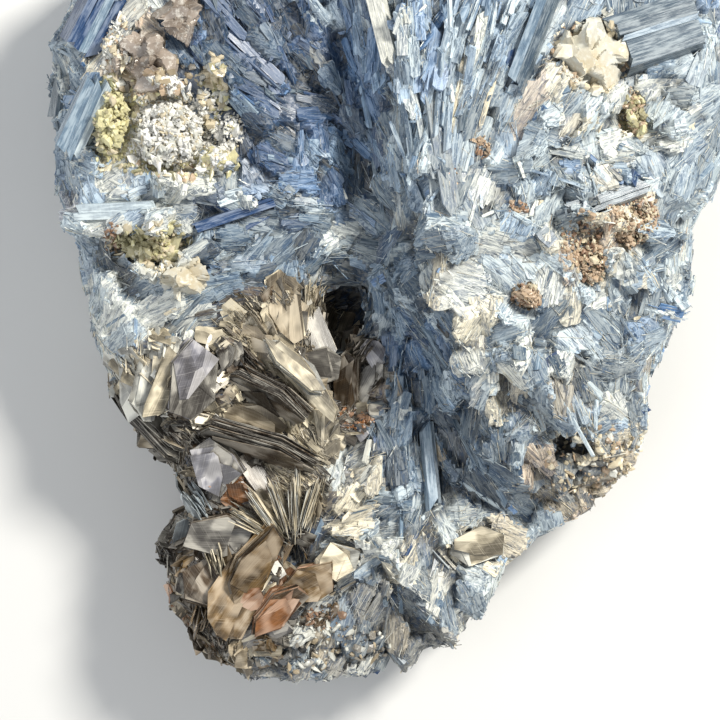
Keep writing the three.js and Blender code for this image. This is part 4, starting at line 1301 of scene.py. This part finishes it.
def grow_flakes():
    """Small mica books that fill the ground between the large ones."""
    seats, normals = scatter(FLAKE_STACKS, flake_density)
    tilt = unit(normals + RNG.normal(0, 0.75, normals.shape))
    along = unit(np.cross(tilt, RNG.normal(0, 1, normals.shape)))
    tone = pick_tones(seats, MICA_FIELDS)
    width = uniform((3, 9), FLAKE_STACKS, 1.5) * MM
    chosen = RNG.integers(0, FLAKE_STACKS, FLAKES)
    through = unit(tilt[chosen] + RNG.normal(0, 0.05, (FLAKES, 3)))
    ahead = turned(flush(along[chosen], through), through, RNG.normal(0, 0.25, FLAKES))
    across = np.cross(through, ahead)
    span = width[chosen]
    offset = RNG.uniform(-0.5, 0.5, FLAKES) * np.minimum(span, 4 * MM)
    slide = RNG.normal(0, 0.12, (FLAKES, 2)) * span[:, None]
    centres = seats[chosen] + through * offset[:, None] + ahead * slide[:, :1] + across * slide[:, 1:]
    centres -= normals[chosen] * (0.8 * MM)
    sizes = np.column_stack([
        span * RNG.uniform(0.6, 1.1, FLAKES), span * RNG.uniform(0.35, 0.8, FLAKES),
        RNG.uniform(0.08, 0.3, FLAKES) * MM,
    ])
    tones = tone[chosen] * RNG.uniform(0.65, 1.25, (FLAKES, 1))
    pile = Pile()
    outlines = FLAKE_OUTLINE + RNG.uniform(-0.3, 0.3, (FLAKES, 6, 2))
    add_prisms(pile, outlines, centres, ahead, across, sizes, np.clip(tones, 0, 0.95))
    pile.piece("mica_flakes", MICA, "mica_smoky")


for title in sorted(frame["nodes"]):
    if title.startswith("mica_"):
        book_leaves(title)
small_books()
grow_mica()
grow_flakes()

# ------------------------------------------------------------------ large single blades

BLADE_TONES = {
    "kyanite_blade_crest_dark": ("slate", "steel"), "kyanite_blade_banded": ("steel", "slate"),
    "kyanite_blade_spearhead": ("pale", "white"), "kyanite_block_upper_right": ("slate", "steel"),
    "kyanite_block_left_edge": ("deep", "steel"), "kyanite_block_left_step": ("slate", "deep"),
    "kyanite_slab_left": ("steel", "pale"), "kyanite_blade_lavender": ("pale", "sky"),
    "kyanite_blade_oblique": ("deep", "steel"), "kyanite_blade_lower_blue": ("steel", "slate"),
}


LATH_WIDTH = 2.2 * MM


def grown_blade(name):
    """A large blade as a few parallel laths that fill its CAD solid, their tops slightly uneven."""
    middle, axes, size = node_axes(name)
    count = max(2, round(size[1] / LATH_WIDTH))
    inner = (np.arange(1, count) + RNG.uniform(-0.42, 0.42, count - 1)) / count
    cuts = np.sort(np.concatenate([[0, 1], inner]))
    width = np.diff(cuts) * size[1]
    offset = (cuts[1:] + cuts[:-1] - 1) / 2 * size[1]
    slide = RNG.uniform(-0.03, 0.03, count) * size[0]
    drop = RNG.uniform(-0.16, 0, count) * MM
    centres = middle + offset[:, None] * axes[1] + slide[:, None] * axes[0] + drop[:, None] * axes[2]
    through = np.tile(axes[2], (count, 1))
    along = turned(np.tile(axes[0], (count, 1)), through, np.radians(RNG.normal(0, 0.5, count)))
    sizes = np.column_stack([size[0] * RNG.uniform(0.9, 1, count), width * 1.28, np.full(count, size[2])])
    tones = two_toned(BLADE_TONES[name], 0.3, 0.92, 1.1, count)
    pile = Pile()
    add_blades(pile, centres, along, np.cross(through, along), sizes, tones, 0.9)
    pile.piece(name + "_laths", GLASS, slot_of(name), [name])


for title in BLADE_TONES:
    grown_blade(title)

# ------------------------------------------------------------------ lumps and crusts

LUMP_VOXEL = 0.4 * MM
LUMP_CHIPS = (26, 0.4, 0.15 * MM, 2.5 * MM)  # how many chips, their tilt, their step and the most they move
QUARTZ = lump_material("quartz_smoky", linear("b3a69a"), linear("dcd7cd"), linear("877b70"), 0.1, 0.1)
CREAM = lump_material(
    "quartz_cream", TONES["white"] * 0.95, TONES["white"] * 1.08, TONES["cream"] * 0.8, 0.25
)
LUMPS = {
    "quartz_smoky_left": QUARTZ, "quartz_smoky_top": QUARTZ,
    "quartz_cream_right": CREAM, "quartz_white_nose": CREAM,
}


def broken_lump(name, material):
    """A lump with flat fracture faces."""
    made = remeshed(frame["nodes"][name], LUMP_VOXEL, 3)
    points, normals = points_of(made), normals_of(made)
    put_points(made, chipped(points, normals, *LUMP_CHIPS))
    made.shade_flat()
    new_piece(name + "_stone", made, material, [name])


for title, stuff in LUMPS.items():
    broken_lump(title, stuff)

CRUSTS = {
    "druse_yellow_left": (460, (0.7, 1.8), dict(lemon=5, olive=1, cream=2)),
    "granular_white_left": (1900, (0.5, 1.5), dict(frost=8, white=2, cream=1.2)),
    "druse_green_pocket": (200, (1.1, 2.8), dict(olive=4, lemon=2.4, cream=1.6)),
    "druse_yellow_right": (120, (0.8, 1.9), dict(olive=2, lemon=1, tan=2)),
    "feldspar_rusty_upper": (420, (0.4, 1.5), dict(rust=1.4, tan=3, cream=2.4)),
    "feldspar_rusty_middle": (340, (0.4, 1.5), dict(rust=1.2, tan=3, cream=2.4)),
    "feldspar_rusty_lower": (200, (0.4, 1.4), dict(rust=2.4, tan=3, cream=0.8)),
}
GOLDEN = (1 + 5 ** 0.5) / 2
GRAIN_POINTS = unit(np.array(
    [(0, a, b * GOLDEN) for a in (-1, 1) for b in (-1, 1)]
    + [(a, b * GOLDEN, 0) for a in (-1, 1) for b in (-1, 1)]
    + [(b * GOLDEN, 0, a) for a in (-1, 1) for b in (-1, 1)]
))


def grain_faces():
    """The triangles of the twelve-cornered solid, each turned to face out."""
    faces = []
    for trio in itertools.combinations(range(12), 3):
        a, b, c = GRAIN_POINTS[list(trio)]
        if max(np.linalg.norm(a - b), np.linalg.norm(b - c), np.linalg.norm(c - a)) < 1.1:
            faces.append(trio if np.dot(np.cross(b - a, c - a), a) > 0 else trio[::-1])
    return faces


GRAIN_FACES = grain_faces()


def add_grains(pile, seats, size, tones):
    """Adds small angular crystals to a pile."""
    count = len(seats)
    shape = np.exp(RNG.normal(0, 0.48, (count, 1, 3)))
    local = GRAIN_POINTS * RNG.uniform(0.56, 1.16, (count, 12, 1)) * shape
    spin = np.linalg.qr(RNG.normal(0, 1, (count, 3, 3)))[0]
    spin *= np.sign(np.linalg.det(spin))[:, None, None]
    points = seats[:, None] + np.einsum("nij,nkj->nki", spin, local) * size[:, None, None] / 2
    points[:, :, 2] = np.maximum(points[:, :, 2], LOWEST)
    cell = np.tile([(0.1, 0.1), (0.9, 0.1), (0.5, 0.9)], (len(GRAIN_FACES), 1))
    pile.add(points, GRAIN_FACES, np.clip(tones, 0, 0.9)[:, None], points / MM, cell)


def drawn_tones(shares, places):
    """Tones for places drawn by their shares, so that neighbours mostly agree."""
    names = sorted(shares)
    odds = np.array([shares[name] for name in names])
    level = noise(places, 2.6 * MM, 8) * 0.5 + RNG.normal(0, 0.16, len(places))
    rank = level.argsort().argsort() / len(places)
    order = RNG.permutation(len(names))
    drawn = order[np.minimum((rank[:, None] > (odds[order] / odds.sum()).cumsum()).sum(1), len(names) - 1)]
    return np.array([TONES[name] for name in names])[drawn] * RNG.uniform(0.85, 1.12, (len(places), 1))


def crust(name, count, size, tones):
    """A bed of small crystals over a CAD lump and inside it."""
    source = frame["nodes"][name].data
    points, corners = points_of(source), triangles_of(source)
    a, b, c, crossed = corners_of(points, corners)
    areas = np.linalg.norm(crossed, axis=1)
    chosen = RNG.choice(len(corners), count, p=areas / areas.sum())
    r, s = np.sqrt(RNG.random(count))[:, None], RNG.random(count)[:, None]
    seats = a[chosen] * (1 - r) + b[chosen] * r * (1 - s) + c[chosen] * r * s
    middle = points.mean(0)
    seats = middle + (seats - middle) * RNG.uniform(0.84, 0.97, (count, 1))
    pile = Pile()
    add_grains(pile, seats, uniform(size, count, 2.4) * MM, drawn_tones(tones, seats))
    pile.piece(name + "_grains", GRAINS, slot_of(name), [name])


def grow_crumbs():
    """Patches of small crystals on the skin, thinning out towards their edges."""
    pile = Pile()
    for field in CRUMBS:
        def reach(places, normals):
            depth = inside(places, field)
            ragged = np.clip(depth * 3 + 0.8 * noise(places, 3 * MM, 5), 0, 1)
            return np.where(depth > 0, ragged, 0) * np.clip(normals[:, 2] + 0.4, 0, 1)
        seats, normals = scatter(field["count"], reach)
        size = uniform(field["size"], field["count"], 2.4) * MM
        rise = RNG.uniform(0, 0.5, field["count"]) * MM - 0.12 * size
        seats = seats + normals * rise[:, None]
        add_grains(pile, seats, size, drawn_tones(field["tones"], seats))
    pile.piece("crumbs", GRAINS, "druse")


for title, facts in CRUSTS.items():
    crust(title, *facts)
grow_crumbs()

# ------------------------------------------------------------------ floor, lights and camera

VIEW_AT = (-7.0 * MM, -21.0 * MM)
VIEW_HEIGHT = 22 * MM  # height of the outline that fills the frame
VIEW_WIDTH = 158.4 * MM
VIEW_DISTANCE = 0.8
SENSOR = 36.0


def add_floor():
    bpy.ops.mesh.primitive_plane_add(size=4, location=(0, 0, -0.0002))
    floor = bpy.context.active_object
    floor.name = "floor"
    shader = Shader("floor")
    shader.inputs["Base Color"].default_value = (0.72, 0.72, 0.71, 1)
    shader.inputs["Roughness"].default_value = 0.9
    floor.data.materials.append(shader.material)


def add_light(name, place, size, power, colour):
    light = bpy.data.lights.new(name, "AREA")
    light.size, light.energy, light.color = size, power, colour
    lamp = new_object(name, light)
    lamp.location = place
    lamp.rotation_euler = Vector(place).to_track_quat("Z", "Y").to_euler()


def add_camera():
    data = bpy.data.cameras.new("camera")
    data.sensor_width = SENSOR
    data.lens = SENSOR * VIEW_DISTANCE / VIEW_WIDTH
    data.clip_start, data.clip_end = 0.01, 20
    camera = new_object("camera", data)
    camera.location = (*VIEW_AT, VIEW_HEIGHT + VIEW_DISTANCE)
    bpy.context.scene.camera = camera


def add_world():
    world = bpy.data.worlds.new("studio")
    world.use_nodes = True
    world.node_tree.nodes["Background"].inputs["Color"].default_value = (0.92, 0.96, 1, 1)
    world.node_tree.nodes["Background"].inputs["Strength"].default_value = 0.4
    bpy.context.scene.world = world


add_floor()
add_light("key", (0.56, 0.42, 0.78), 0.2, 14.2, (1, 0.96, 0.88))
add_light("fill", (-0.6, -0.3, 1.0), 0.9, 5.0, (0.97, 0.98, 1))
add_camera()
add_world()
bpy.context.scene.view_settings.view_transform = "Standard"
